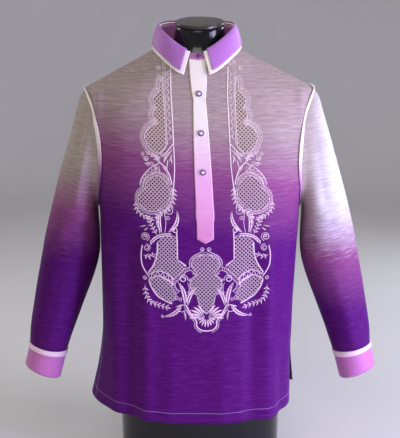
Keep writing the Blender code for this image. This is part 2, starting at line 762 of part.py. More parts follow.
def build(where):
    grids = {}
    for panel, facing in (("front", -1), ("back", 1)):
        points = panel_grid(panel)
        grids[panel] = (points, normals_of(points, points * (0, 0, 1)))
    make_front(grids["front"][0], where)
    wall("back", lattice(grids["back"][0]), CLOTH, "sheer", where)
    strip = make_placket(*grids["front"], where)
    for number, height in enumerate(BUTTON_HEIGHTS, 1):
        level = HEM_HEIGHT + height
        middle = strip[:, 1]
        spot = np.array([np.interp(level, middle[:, 2], middle[:, i]) for i in range(3)])
        row = int(np.searchsorted(middle[:, 2], level))
        out = np.cross((1, 0, 0), middle[row] - middle[row - 1])
        out /= np.linalg.norm(out)
        make_button(f"button_{number}", spot + out * (TRIM / 2 + GAP), out, BUTTON_DIAMETER, where)
    make_collar(where)
    for side, hand in ((-1, "right"), (1, "left")):
        make_band(f"armhole_band_{hand}", side, grids, where)
        make_sleeve(f"sleeve_{hand}", side, where)
        make_cuff(hand, side, where)
    make_form(where)


def main():
    for obj in list(bpy.data.objects):
        bpy.data.objects.remove(obj)
    where = bpy.data.collections.new("barong_shirt_on_form")
    bpy.context.scene.collection.children.link(where)
    build(where)


main()
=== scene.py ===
"""A sheer, long-sleeved formal shirt with openwork embroidery, buttoned on a black display torso.

Every cloth piece is a smoothed copy of its CAD wall, creased with soft folds. Embroidery, net,
stitches and buttons are laid on the finished front, at places worked out from the buttons, the
placket and the hem. Metres, +Z up, the chest facing -Y.
"""

import math

import bmesh
import bpy
import numpy as np
from mathutils import Matrix, Vector, noise
from mathutils.bvhtree import BVHTree


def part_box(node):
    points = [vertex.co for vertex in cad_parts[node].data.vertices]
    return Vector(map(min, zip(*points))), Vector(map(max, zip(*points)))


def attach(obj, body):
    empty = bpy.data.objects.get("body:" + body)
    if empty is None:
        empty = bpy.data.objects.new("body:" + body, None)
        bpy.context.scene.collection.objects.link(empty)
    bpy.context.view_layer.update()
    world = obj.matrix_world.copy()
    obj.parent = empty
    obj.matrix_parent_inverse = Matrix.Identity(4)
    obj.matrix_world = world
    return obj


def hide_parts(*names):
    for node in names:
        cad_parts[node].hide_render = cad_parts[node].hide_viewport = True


bl_info = {
    "name": "Barong Shirt on a Display Torso",
    "version": (1, 0, 0),
    "blender": (4, 5, 0),
    "location": "View3D > Sidebar > Barong",
    "description": "Builds an embroidered sheer shirt on its display torso",
    "category": "Object",
}

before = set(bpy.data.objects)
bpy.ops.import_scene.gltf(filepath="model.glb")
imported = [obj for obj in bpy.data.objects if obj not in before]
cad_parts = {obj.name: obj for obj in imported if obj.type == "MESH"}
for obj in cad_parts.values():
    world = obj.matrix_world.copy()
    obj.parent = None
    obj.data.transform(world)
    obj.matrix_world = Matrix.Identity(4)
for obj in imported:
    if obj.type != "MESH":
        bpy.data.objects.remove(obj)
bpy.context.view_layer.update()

MM = 0.001
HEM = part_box("front")[0].z  # height of the hem's front centre
HANDS = (("right", -1), ("left", 1))  # the wearer's, and the sign of X there
SHEER_RIM = 0.0026  # a face with an edge under this is the rim of a sheer CAD wall
DOUBLE_RIM = 0.0016  # and of a doubled one
MERGE = 1e-5
TOUCH = 1e-6


def tint(code):
    """A scene colour from a hex code."""
    parts = [int(code[i : i + 2], 16) / 255 for i in (0, 2, 4)]
    return tuple(c / 12.92 if c <= 0.04045 else ((c + 0.055) / 1.055) ** 2.4 for c in parts)


# ---------------------------------------------------------------- settings


def length(name, description, default, most=1.0):
    return bpy.props.FloatProperty(
        name=name,
        description=description,
        default=default,
        min=0.0,
        max=most,
        precision=4,
        subtype="DISTANCE",
        unit="LENGTH",
    )


def share(name, description, default):
    return bpy.props.FloatProperty(
        name=name, description=description, default=default, min=0.0, max=1.0, subtype="FACTOR"
    )


def colour(name, description, code):
    return bpy.props.FloatVectorProperty(
        name=name, description=description, default=tint(code), min=0.0, max=1.0, size=3, subtype="COLOR"
    )


def power(name, description, default):
    return bpy.props.FloatProperty(name=name, description=description, default=default, min=0.0, unit="POWER")


class BarongCloth(bpy.types.PropertyGroup):
    """The sheer cloth and the doubled cloth of the trims"""

    sheer_wall: length("Sheer wall", "Thickness of the sheer panels and sleeves", 0.0007)
    double_wall: length("Double wall", "Thickness of collar, cuffs, placket and bands", 0.0011)
    crumple: length("Crumple", "Height of the cloth's faint unevenness", 0.0007, 0.01)
    slub_length: length("Slub length", "Length of a thick place in the weft", 0.026)
    slub_pitch: length("Slub pitch", "Height of one weft streak", 0.0012)
    cover_pale: share("Pale cover", "How much the undyed cloth hides what is behind it", 0.80)
    cover_deep: share("Deep cover", "How much the dyed cloth hides what is behind it", 0.97)
    pale: colour("Pale", "Undyed cloth", "cbbcae")
    # Painted light: the near-white that the left sleeve's cloth is mixed towards stands in for light shining
    # through it, not for bleached cloth.
    painted_glow: colour("Palest", "Undyed cloth where it is bleached, as on the left sleeve", "fdfaf6")
    middle: colour("Middle", "Cloth where the dye begins", "a2568e")
    deep: colour("Deep", "Fully dyed cloth", "5a0572")
    cream: colour("Cream", "Collar edge, bands and placket top", "fdf2e4")
    pink: colour("Pink", "Placket foot, cuffs and stand", "e592c4")
    violet: colour("Violet", "Upper layer of the collar", "bd74c8")


class BarongThread(bpy.types.PropertyGroup):
    """Embroidery, openwork net and stitches"""

    fineness: share("Fineness", "Width of every embroidery line over its drawn width", 0.78)
    satin_rise: length("Satin rise", "Height of satin stitch over the cloth", 0.0008, 0.01)
    net_pitch: length("Net pitch", "Distance between the net's diagonal threads", 0.0055, 0.05)
    net_thread: length("Net thread", "Width of a net thread", 0.0021, 0.02)
    knot: length("Knot", "Width of the knot where net threads cross", 0.0031, 0.02)
    stitch: length("Stitch", "Length of one seam stitch", 0.0026, 0.02)
    stitch_gap: length("Stitch gap", "Space between seam stitches", 0.0012, 0.02)
    satin: colour("Satin", "Satin stitch", "ffece8")
    satin_low: colour("Lower satin", "Satin stitch towards the hem", "ffdcec")
    net: colour("Net", "Openwork thread", "dcc4b2")
    seam: colour("Seam thread", "Hem and slit stitches", "d9b4e6")


class BarongButton(bpy.types.PropertyGroup):
    """The buttons"""

    rim: colour("Rim", "Rim of a button", "3d0f45")
    pearl: colour("Pearl", "Domed centre of a button", "e9c9e8")
    pearl_share: share("Centre share", "Radius of the pale centre over the button's", 0.56)


class BarongTorso(bpy.types.PropertyGroup):
    """The display torso"""

    gloss: colour("Torso", "Lacquer of the torso", "060608")
    cap: colour("Neck cap", "Cap on the torso's neck", "241a18")
    roughness: share("Roughness", "Roughness of the lacquer", 0.16)


class BarongStudio(bpy.types.PropertyGroup):
    """Camera, lights and floor"""

    distance: length("Camera distance", "From the torso's middle to the camera", 1.8, 10.0)
    height: length("Camera height", "Height of the camera over the floor", 0.8595, 5.0)
    pitch: bpy.props.FloatProperty(
        name="Camera pitch",
        description="How far the camera looks down",
        default=math.radians(10.94),
        unit="ROTATION",
    )
    lens: bpy.props.FloatProperty(
        name="Lens", description="Focal length", default=72.66, min=10, unit="CAMERA"
    )
    key: power("Key", "Power of the front light", 17.0)
    side: power("Side", "Power of the cool side light", 40.0)
    violet: power("Violet", "Power of the low violet light", 30.0)
    rim: power("Rim", "Power of the lights from behind", 16.0)
    floor: colour("Floor", "Paint of the floor", "d9d6d2")


SETTINGS = {
    "barong_cloth": BarongCloth,
    "barong_thread": BarongThread,
    "barong_button": BarongButton,
    "barong_torso": BarongTorso,
    "barong_studio": BarongStudio,
}


def settings(name):
    """One of the settings groups, by the end of its name."""
    return getattr(bpy.context.scene, "barong_" + name)


# ---------------------------------------------------------------- helpers


def ease(low, high, value):
    """0 below low, 1 above high and smooth between; it takes arrays."""
    t = np.clip((np.asarray(value, float) - low) / (high - low), 0, 1)
    return t * t * (3 - 2 * t)


def box_centre(node):
    low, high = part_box(node)
    return (low + high) / 2


def centre_line():
    """(heights, x) of the front's centre line, from the placket's point and the buttons."""
    tip = min((v.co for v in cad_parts["placket"].data.vertices), key=lambda co: co.z)
    buttons = [box_centre(f"button_{i}") for i in (3, 2, 1)]
    plumb = tip.x + 0.0023  # where it hangs straight down, from 0.20 over the hem
    rows = [(HEM, plumb), (HEM + 0.20, plumb), (tip.z, tip.x), *((spot.z, spot.x) for spot in buttons)]
    return np.array(rows).T


CENTRE_LINE = centre_line()


def line_at(height):
    return np.interp(height, *CENTRE_LINE)


def as_object(name, made, materials=()):
    """Puts a bmesh in the scene as a smoothly shaded object, and frees it."""
    mesh = bpy.data.meshes.new(name)
    made.to_mesh(mesh)
    made.free()
    for material in materials:
        mesh.materials.append(material)
    mesh.shade_smooth()
    shown = bpy.data.objects.new(name, mesh)
    bpy.context.scene.collection.objects.link(shown)
    return shown


def link(name, made, materials, node=None):
    """Makes the finished piece, riding on the shirt's only body."""
    piece = as_object(name, made, materials)
    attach(piece, "root")
    if node:
        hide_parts(node)
    return piece


def thicken(piece, wall):
    """Gives an open sheet its wall, inwards from its outer face."""
    layer = piece.modifiers.new("Wall", "SOLIDIFY")
    layer.thickness = wall
    layer.offset = -1.0
    layer.use_even_offset = False
    return piece


def islands(faces):
    """Groups of faces that are joined to each other, with faces outside the list counted as gaps."""
    left, groups = set(faces), []
    while left:
        group, reached = [], [left.pop()]
        while reached:
            face = reached.pop()
            group.append(face)
            near = {f for e in face.edges for f in e.link_faces} & left
            left -= near
            reached.extend(near)
        groups.append(group)
    return groups


def cad_copy(node):
    """A CAD node's mesh, with its vertices joined up."""
    made = bmesh.new()
    made.from_mesh(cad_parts[node].data)
    bmesh.ops.remove_doubles(made, verts=made.verts, dist=MERGE)
    return made


def join_quads(made, faces):
    """Joins triangles into quads, which a subdivision smooths evenly."""
    bmesh.ops.join_triangles(
        made,
        faces=faces,
        angle_face_threshold=math.pi,
        angle_shape_threshold=math.pi,
        topology_influence=2.0,
    )


def outer_sheet(node, rim, guide=None):
    """A copy of a CAD wall's outer face, in quads. rim is the width of face to leave out as the
    wall's edge, and guide a tree whose faces look outwards, for a narrow piece."""
    made = cad_copy(node)
    made.normal_update()
    if guide:
        keep = {f for f in made.faces if guide.find_nearest(f.calc_center_median())[1].dot(f.normal) > 0.55}
    else:
        wide = [f for f in made.faces if min(e.calc_length() for e in f.edges) > rim]
        keep = set(max(islands(wide), key=lambda group: sum(f.calc_area() for f in group)))
    bmesh.ops.delete(made, geom=[f for f in made.faces if f not in keep], context="FACES")
    join_quads(made, made.faces)
    return made


def smoothed(made, levels):
    """A bmesh subdivided into a smooth sheet that keeps its corners."""
    draft = as_object("draft", made)
    layer = draft.modifiers.new("Smooth", "SUBSURF")
    layer.levels = layer.render_levels = levels
    layer.boundary_smooth = "PRESERVE_CORNERS"
    shown = draft.evaluated_get(bpy.context.evaluated_depsgraph_get())
    made = bmesh.new()
    made.from_mesh(shown.to_mesh())
    shown.to_mesh_clear()
    bpy.data.meshes.remove(draft.data)  # the draft goes with it
    made.normal_update()
    return made


# Soft folds: the side they show on (-1 front, 1 back), their ends as x and height over the hem,
# their half width and how far they stand out. Below zero is a hollow.
FOLD_COLUMNS = ("facing", "x0", "h0", "x1", "h1", "width", "rise")
FOLDS = (
    (-1, 0.134, 0.400, 0.142, -0.020, 0.016, 0.0078),
    (-1, 0.100, 0.330, 0.104, -0.020, 0.016, -0.0050),
    (-1, 0.166, 0.360, 0.171, -0.020, 0.013, -0.0050),
    (-1, -0.138, 0.380, -0.142, -0.020, 0.017, -0.0060),
    (-1, -0.172, 0.340, -0.170, -0.020, 0.015, 0.0046),
    (-1, -0.104, 0.260, -0.108, -0.020, 0.015, 0.0044),
    (-1, 0.046, 0.130, 0.042, -0.020, 0.018, 0.0030),
    (-1, -0.056, 0.140, -0.066, -0.020, 0.018, 0.0026),
    (-1, -0.080, 0.690, -0.165, 0.610, 0.018, 0.0010),
    (-1, 0.075, 0.690, 0.155, 0.600, 0.020, 0.0012),
    (-1, -0.198, 0.655, -0.202, 0.490, 0.009, 0.0048),
    (-1, 0.195, 0.655, 0.199, 0.470, 0.009, 0.0048),
    (-1, -0.214, 0.600, -0.246, 0.440, 0.011, 0.0046),
    (-1, -0.232, 0.585, -0.262, 0.450, 0.009, -0.0034),
    (-1, -0.215, 0.420, -0.290, 0.385, 0.008, 0.0036),
    (-1, -0.222, 0.385, -0.305, 0.345, 0.008, -0.0040),
    (-1, -0.240, 0.335, -0.318, 0.310, 0.009, 0.0034),
    (-1, -0.270, 0.300, -0.318, 0.120, 0.012, 0.0020),
    (-1, 0.226, 0.590, 0.250, 0.440, 0.012, -0.0040),
    (-1, 0.250, 0.560, 0.284, 0.400, 0.012, 0.0036),
    (-1, 0.212, 0.400, 0.290, 0.420, 0.008, 0.0034),
    (-1, 0.222, 0.362, 0.306, 0.384, 0.008, -0.0036),
    (-1, 0.236, 0.325, 0.318, 0.330, 0.009, 0.0022),
    (-1, 0.275, 0.290, 0.322, 0.120, 0.012, 0.0022),
    (1, 0.120, 0.520, 0.135, -0.020, 0.024, 0.0026),
    (1, -0.115, 0.540, -0.130, -0.020, 0.024, 0.0026),
    (1, 0.030, 0.420, 0.045, -0.020, 0.024, -0.0020),
    (1, -0.040, 0.380, -0.050, -0.020, 0.022, 0.0018),
    *(
        (1, side * x0, h0, side * x1, h1, width, rise)
        for x0, h0, x1, h1, width, rise in (
            (0.090, 0.700, 0.170, 0.580, 0.020, 0.0014),
            (0.235, 0.400, 0.300, 0.360, 0.010, 0.0024),
            (0.250, 0.340, 0.310, 0.310, 0.010, -0.0022),
        )
        for side in (1, -1)
    ),
)


def crease(made, amount=1.0):
    """Moves a sheet along its normals by a share of the soft folds and of a faint unevenness."""
    points = np.array([v.co for v in made.verts])
    normals = np.array([v.normal for v in made.verts])
    move = np.zeros(len(points))
    for row in FOLDS:
        fold = dict(zip(FOLD_COLUMNS, row))
        start = np.array([fold["x0"], HEM + fold["h0"]])
        run = np.array([fold["x1"], HEM + fold["h1"]]) - start
        flat = points[:, [0, 2]] - start
        t = np.clip(flat @ run / (run @ run), 0, 1)
        away = np.linalg.norm(flat - t[:, None] * run, axis=1) / fold["width"]
        shows = ease(0.05, 0.7, normals[:, 1] * fold["facing"])
        move += fold["rise"] * np.exp(-(away**2)) * shows
    crumple = settings("cloth").crumple
    for vert, point, normal, step in zip(made.verts, points, normals, move):
        place = Vector(point)
        soft = noise.noise(place * 17) + 0.5 * noise.noise(place * 41)  # swells of 59 and 24 mm
        vert.co = Vector(point + normal * amount * (step + crumple * soft))
    made.normal_update()


def wrap_weave(made, origin, axis, facing, radius):
    """A UV map in metres, with the weft round an axis. Its seam is opposite to facing."""
    layer = made.loops.layers.uv.new("weave")
    axis = Vector(axis).normalized()
    facing = Vector(facing)
    facing = (facing - axis * facing.dot(axis)).normalized()
    beside = axis.cross(facing)
    origin = Vector(origin)
    turn = {v: math.atan2((v.co - origin).dot(beside), (v.co - origin).dot(facing)) for v in made.verts}
    for face in made.faces:
        first = turn[face.verts[0]]
        for loop in face.loops:
            angle = turn[loop.vert]
            if angle - first > math.pi:
                angle -= 2 * math.pi
            if first - angle > math.pi:
                angle += 2 * math.pi
            loop[layer].uv = (angle * radius, (loop.vert.co - origin).dot(axis))


def map_grid(verts, layer, places):
    """Sets the UV map on a grid's faces, from one place for each vertex."""
    for face in {f for v in verts for f in v.link_faces}:
        for loop in face.loops:
            loop[layer].uv = places[loop.vert]


def paint_value(made, name, value_of):
    """A number on each vertex, for a material to read."""
    layer = made.verts.layers.float.new(name)
    points = np.array([v.co for v in made.verts])
    for vert, value in zip(made.verts, value_of(points)):
        vert[layer] = float(value)


def spun(section, steps):
    """A surface made by turning a section of (reach, height) points round Z."""
    made = bmesh.new()
    chain = [made.verts.new((reach, 0, height)) for reach, height in section]
    edges = [made.edges.new(pair) for pair in zip(chain, chain[1:])]
    bmesh.ops.spin(
        made,
        geom=chain + edges,
        cent=(0, 0, 0),
        axis=(0, 0, 1),
        angle=2 * math.pi,
        steps=steps,
        use_merge=True,
    )
    bmesh.ops.remove_doubles(made, verts=made.verts, dist=TOUCH)
    return made


class Shell:
    """The outer face of finished pieces, to lay threads on."""

    def __init__(self, *pieces):
        made = bmesh.new()
        for piece in pieces:
            made.from_mesh(piece.data)
        self.tree = BVHTree.FromBMesh(made)
        made.free()

    def from_front(self, x, z):
        """(point, normal) of the chest at this place in front view."""
        point, normal, _, _ = self.tree.ray_cast(Vector((x, -1, z)), Vector((0, 1, 0)))
        if point is None:
            raise RuntimeError(f"no cloth at x {x:.3f}, z {z:.3f}")
        return point, normal

    def round_body(self, turn, z):
        """(point, normal) seen from outside at a turn round the body, where 0 is the chest, or
        (None, None) if the near side has no cloth there."""
        out = Vector((math.sin(turn), -math.cos(turn), 0))
        return self.tree.ray_cast(Vector((0, 0, z)) + out, -out, 1.0)[:2]

    def near(self, point):
        """(point, normal) of the cloth that is nearest."""
        return self.tree.find_nearest(point)[:2]


# ---------------------------------------------------------------- material parts


def node_group(name, inputs, outputs, fill):
    """A shader node group, built once. inputs and outputs are (name, type, default) rows."""
    found = bpy.data.node_groups.get(name)
    if found:
        return found
    made = bpy.data.node_groups.new(name, "ShaderNodeTree")
    for title, kind, default in inputs:
        socket = made.interface.new_socket(title, in_out="INPUT", socket_type=kind)
        if default is not None:
            socket.default_value = default
    for title, kind, _ in outputs:
        made.interface.new_socket(title, in_out="OUTPUT", socket_type=kind)
    enter = made.nodes.new("NodeGroupInput")
    leave = made.nodes.new("NodeGroupOutput")
    fill(Nodes(made), enter.outputs, leave.inputs)
    return made


class Nodes:
    """Short ways to add nodes to a tree and join them."""

    def __init__(self, tree):
        self.tree = tree

    def set(self, socket, value):
        if isinstance(value, bpy.types.NodeSocket):
            self.tree.links.new(value, socket)
        else:
            socket.default_value = value

    def add(self, kind, inputs=None, **options):
        made = self.tree.nodes.new(kind)
        for key, value in options.items():
            setattr(made, key, value)
        for key, value in (inputs or {}).items():
            self.set(made.inputs[key], value)
        return made

    def math(self, operation, a, b=0.5, clamp=False):
        made = self.add("ShaderNodeMath", {0: a, 1: b}, operation=operation)
        made.use_clamp = clamp
        return made.outputs[0]

    def scaled(self, vector, scale, shift=(0, 0, 0)):
        made = self.add("ShaderNodeMapping", {"Vector": vector, "Scale": scale, "Location": shift})
        return made.outputs[0]

    def grain(self, vector, scale=1.0, detail=2.0, roughness=0.5, distortion=0.0):
        made = self.add(
            "ShaderNodeTexNoise",
            {
                "Vector": vector,
                "Scale": scale,
                "Detail": detail,
                "Roughness": roughness,
                "Distortion": distortion,
            },
        )
        return made.outputs["Fac"]

    def span(self, value, low, high, to_low=0.0, to_high=1.0, smooth=False):
        made = self.add(
            "ShaderNodeMapRange",
            {"Value": value, "From Min": low, "From Max": high, "To Min": to_low, "To Max": to_high},
        )
        made.interpolation_type = "SMOOTHSTEP" if smooth else "LINEAR"
        return made.outputs["Result"]

    def blend(self, share, a, b, mode="MIX"):
        made = self.add("ShaderNodeMix", data_type="RGBA", blend_type=mode)
        made.clamp_factor = True
        for socket, value in ((0, share), (6, a), (7, b)):
            if not isinstance(value, bpy.types.NodeSocket) and socket:
                value = (*value[:3], 1)
            self.set(made.inputs[socket], value)
        return made.outputs[2]

    def weave_map(self):
        return self.add("ShaderNodeUVMap", uv_map="weave").outputs[0]

    def value_of(self, name):
        return self.add("ShaderNodeAttribute", attribute_name=name).outputs["Fac"]

    def object_place(self):
        return self.add("ShaderNodeTexCoord").outputs["Object"]

    def group(self, group, inputs=None):
        made = self.add("ShaderNodeGroup", node_tree=group)
        for key, value in (inputs or {}).items():
            self.set(made.inputs[key], value)
        return made.outputs


def slub_weave():
    """Streaks of thick weft and the fine grid of the threads, from a weave map in metres."""

    def fill(nodes, enter, leave):
        across = nodes.math("DIVIDE", 1.0, enter["Slub Length"])
        up = nodes.math("DIVIDE", 1.0, enter["Slub Pitch"])
        scale = nodes.add("ShaderNodeCombineXYZ", {0: across, 1: up, 2: 1.0}).outputs[0]
        stretch = nodes.add("ShaderNodeVectorMath", {0: nodes.weave_map(), 1: scale}, operation="MULTIPLY")
        place = stretch.outputs[0]
        broad = nodes.grain(place, 1.0, 3.0, 0.62)
        slow = nodes.grain(nodes.scaled(place, (0.38, 0.30, 1), (7.3, 3.1, 0)))
        streak = nodes.math("ADD", nodes.math("MULTIPLY", broad, 0.72), nodes.math("MULTIPLY", slow, 0.28))
        streak = nodes.span(streak, 0.36, 0.64)
        weft = nodes.grain(nodes.scaled(nodes.weave_map(), (420, 1500, 1)), detail=1.0)
        warp = nodes.grain(nodes.scaled(nodes.weave_map(), (1700, 240, 1)), detail=1.0)
        threads = nodes.math("MAXIMUM", weft, warp)
        nodes.set(leave["Streak"], streak)
        nodes.set(leave["Threads"], threads)
        low, high = nodes.math("MULTIPLY", streak, 0.55), nodes.math("MULTIPLY", threads, 0.45)
        nodes.set(leave["Height"], nodes.math("ADD", low, high))

    kind = "NodeSocketFloat"
    return node_group(
        "Slub Weave",
        (("Slub Length", kind, 0.03), ("Slub Pitch", kind, 0.002)),
        (("Streak", kind, None), ("Threads", kind, None), ("Height", kind, None)),
        fill,
    )


def dip_dye():
    """Two fades in a row, from pale through middle to deep, broken up by the weft's streaks."""

    def fill(nodes, enter, leave):
        loose = nodes.math("MULTIPLY", nodes.math("SUBTRACT", enter["Streak"], 0.5), enter["Feather"])
        dye = nodes.math("ADD", enter["Dye"], loose, clamp=True)
        first = nodes.blend(nodes.span(dye, 0.0, 0.5), enter["Pale"], enter["Middle"])
        colour_out = nodes.blend(nodes.span(dye, 0.45, 1.0), first, enter["Deep"])
        nodes.set(leave["Color"], colour_out)
        nodes.set(leave["Depth"], dye)

    kind = "NodeSocketColor"
    return node_group(
        "Dip Dye",
        (
            ("Dye", "NodeSocketFloat", 0.0),
            ("Streak", "NodeSocketFloat", 0.5),
            ("Feather", "NodeSocketFloat", 0.1),
            ("Pale", kind, None),
            ("Middle", kind, None),
            ("Deep", kind, None),
        ),
        (("Color", kind, None), ("Depth", "NodeSocketFloat", None)),
        fill,
    )


def new_material(name, **constants):
    """(material, its nodes, its shader), with the shader's constant sockets set."""
    made = bpy.data.materials.new(name)
    made.use_nodes = True
    shader = made.node_tree.nodes["Principled BSDF"]
    for key, value in constants.items():
        shader.inputs[key.replace("_", " ").title().replace("Ior", "IOR")].default_value = value
    return made, Nodes(made.node_tree), shader


def colour_in(nodes, shader, base, roughness):
    nodes.set(shader.inputs["Base Color"], base)
    nodes.set(shader.inputs["Roughness"], roughness)


def rough_up(nodes, shader, height, strength, distance):
    bump = nodes.add("ShaderNodeBump", {"Height": height, "Strength": strength, "Distance": distance})
    nodes.set(shader.inputs["Normal"], bump.outputs["Normal"])


def once(make):
    """Keeps one copy of what a function without arguments makes."""
    kept = []

    def get():
        if not kept:
            kept.append(make())
        return kept[0]

    return get


@once
def sheer_cloth():
    """Stiff sheer cloth with slubs, dyed from pale to deep, lightened towards near-white by a painted glow
    where its piece carries one, and open where the net is.
    """
    cloth = settings("cloth")
    made, nodes, shader = new_material(
        "sheer_slub_cloth", sheen_weight=0.03, sheen_roughness=0.4, specular_ior_level=0.14
    )
    weave = nodes.group(slub_weave(), {"Slub Length": cloth.slub_length, "Slub Pitch": cloth.slub_pitch})
    # Painted glow: the pale cloth is mixed towards near-white where its piece carries a painted glow value,
    # standing in for light shining through the sleeve.
    pale = nodes.blend(nodes.value_of("backlight_glow"), cloth.pale, cloth.painted_glow)
    dyed = nodes.group(
        dip_dye(),
        {
            "Dye": nodes.value_of("dye"),
            "Streak": weave["Streak"],
            "Feather": 0.16,
            "Pale": pale,
            "Middle": (*cloth.middle, 1),
            "Deep": (*cloth.deep, 1),
        },
    )
    shade = nodes.blend(nodes.span(weave["Streak"], 0, 1, 0.0, 0.22), dyed["Color"], (0.0, 0.0, 0.0))
    colour_in(nodes, shader, shade, nodes.span(weave["Streak"], 0, 1, 0.56, 0.68))
    cover = nodes.span(dyed["Depth"], 0, 1, cloth.cover_pale, cloth.cover_deep)
    cover = nodes.math("ADD", cover, nodes.span(weave["Streak"], 0, 1, 0.06, -0.10), clamp=True)
    opened = nodes.span(nodes.value_of("openwork"), -0.0002, 0.0006, 1.0, 0.0, smooth=True)
    nodes.set(shader.inputs["Alpha"], nodes.math("MULTIPLY", cover, nodes.span(opened, 0, 1, 0.35, 1.0)))
    rough_up(nodes, shader, weave["Height"], 0.55, 0.00035)
    return made


def double_cloth(name, pale, middle, deep, streaks, dipped=False):
    """Opaque doubled cloth: dipped, from a dye value that its piece carries, or else only pale."""
    cloth = settings("cloth")
    made, nodes, shader = new_material(name, sheen_weight=0.15, sheen_roughness=0.45)
    finer = {"Slub Length": cloth.slub_length * 0.6, "Slub Pitch": cloth.slub_pitch * 0.8}
    weave = nodes.group(slub_weave(), finer)
    dyed = nodes.group(
        dip_dye(),
        {
            "Dye": nodes.value_of("dye") if dipped else 0.0,
            "Streak": weave["Streak"],
            "Feather": 0.10,
            "Pale": (*pale, 1),
            "Middle": (*middle, 1),
            "Deep": (*deep, 1),
        },
    )
    shade = nodes.blend(nodes.span(weave["Streak"], 0, 1, 0.0, streaks), dyed["Color"], (0.12, 0.04, 0.10))
    colour_in(nodes, shader, shade, nodes.span(weave["Threads"], 0.3, 0.8, 0.48, 0.62))
    rough_up(nodes, shader, weave["Height"], 0.4, 0.0003)
    return made


@once
def cream_cloth():
    cream = settings("cloth").cream
    return double_cloth("cream_double_cloth", cream, cream, cream, streaks=0.05)


@once
def placket_cloth():
    cloth = settings("cloth")
    return double_cloth(
        "placket_cloth", cloth.cream, tint("f5b9de"), cloth.pink, streaks=0.07, dipped=True
    )


@once
def band_cloth():
    cloth = settings("cloth")
    return double_cloth(
        "armhole_band_cloth", cloth.cream, tint("c583c0"), cloth.deep, streaks=0.08, dipped=True
    )


@once
def trim_cloth():
    blush = tint("fbdbe2")
    return double_cloth("cuff_trim_cloth", blush, blush, blush, streaks=0.08)


@once
def violet_cloth():
    violet = settings("cloth").violet
    return double_cloth("violet_double_cloth", violet, violet, violet, streaks=0.22)


@once
def pink_cloth():
    pink = settings("cloth").pink
    return double_cloth("pink_double_cloth", tint("cf78bc"), pink, pink, streaks=0.20)


def thread_material(name, high, low, roughness, pitch, high_z=0.30, low_z=0.12):
    """Twisted thread: fine ridges across it, with painted shade in the troughs between them, and a colour
    that shifts between two heights.
    """
    made, nodes, shader = new_material(name, sheen_weight=0.35, sheen_roughness=0.3)
    where = nodes.add("ShaderNodeSeparateXYZ", {0: nodes.object_place()}).outputs[2]
    shift = nodes.span(where, HEM + low_z, HEM + high_z)
    ridges = nodes.add(
        "ShaderNodeTexWave",
        {"Vector": nodes.weave_map(), "Scale": 0.5 / pitch / math.pi, "Distortion": 0.6, "Detail": 1.0},
        bands_direction="X",
    ).outputs["Fac"]
    uneven = nodes.grain(nodes.object_place(), 420, 2.0, 0.6)
    body = nodes.blend(shift, low, high)
    # Painted shade: the colour darkens in the troughs between the ridges.
    body = nodes.blend(nodes.span(ridges, 0, 1, 0.12, 0.0), body, (0.25, 0.12, 0.22))
    body = nodes.blend(nodes.span(uneven, 0.35, 0.65, 0.07, 0.0), body, (0.35, 0.2, 0.3))
    colour_in(nodes, shader, body, nodes.span(ridges, 0, 1, roughness + 0.1, roughness))
    rough_up(nodes, shader, ridges, 0.5, 0.0002)
    return made


@once
def satin_thread():
    thread = settings("thread")
    return thread_material("satin_thread", thread.satin, thread.satin_low, 0.36, 0.0005, 0.50, 0.36)


@once
def net_thread():
    thread = settings("thread")
    return thread_material("net_thread", thread.net, tint("ccb0be"), 0.5, 0.0006, 0.58, 0.40)


@once
def seam_thread():
    thread = settings("thread")
    return thread_material("seam_thread", thread.seam, thread.seam, 0.5, 0.0005)


@once
def cream_thread():
    return thread_material("cream_seam_thread", tint("fff6ee"), tint("f2cfe6"), 0.5, 0.0005, 0.55, 0.40)


@once
def button_rim():
    rim = settings("button").rim
    made, nodes, shader = new_material("button_rim", coat_weight=0.6, coat_roughness=0.08)
    cloud = nodes.grain(nodes.object_place(), 700, 3.0, 0.6, 1.2)
    base = nodes.blend(nodes.span(cloud, 0.3, 0.7), rim, tint("5d2468"))
    colour_in(nodes, shader, base, nodes.span(cloud, 0.3, 0.7, 0.16, 0.26))
    return made


@once
def button_pearl():
    pearl = settings("button").pearl
    made, nodes, shader = new_material("button_pearl", coat_weight=0.7, coat_roughness=0.06)
    cloud = nodes.grain(nodes.object_place(), 480, 3.0, 0.6, 2.0)
    base = nodes.blend(nodes.span(cloud, 0.3, 0.7), pearl, tint("fbeef6"))
    colour_in(nodes, shader, base, nodes.span(cloud, 0.3, 0.7, 0.12, 0.22))
    return made


@once
def torso_lacquer():
    torso = settings("torso")
    made, nodes, shader = new_material(
        "torso_lacquer", coat_weight=0.35, coat_roughness=0.1, specular_ior_level=0.35
    )
    cloud = nodes.grain(nodes.object_place(), 9, 4.0, 0.6)
    dust = nodes.grain(nodes.object_place(), 260, 2.0, 0.7)
    base = nodes.blend(nodes.span(cloud, 0.35, 0.7), torso.gloss, tint("0c0c12"))
    base = nodes.blend(nodes.span(dust, 0.66, 0.8, 0.0, 0.25), base, tint("4a4a52"))
    smear = nodes.math("MULTIPLY", nodes.span(cloud, 0.3, 0.7, 0.8, 1.35), torso.roughness)
    colour_in(nodes, shader, base, smear)
    rough_up(nodes, shader, cloud, 0.05, 0.0006)
    return made


@once
def cap_satin():
    cap = settings("torso").cap
    made, nodes, shader = new_material("cap_satin", coat_weight=0.35, coat_roughness=0.2)
    grain = nodes.grain(nodes.scaled(nodes.object_place(), (30, 260, 30)), 1.0, 4.0, 0.6, 0.4)
    base = nodes.blend(nodes.span(grain, 0.3, 0.7), cap, tint("3b2a26"))
    colour_in(nodes, shader, base, nodes.span(grain, 0.3, 0.7, 0.26, 0.40))
    rough_up(nodes, shader, grain, 0.15, 0.0003)
    return made


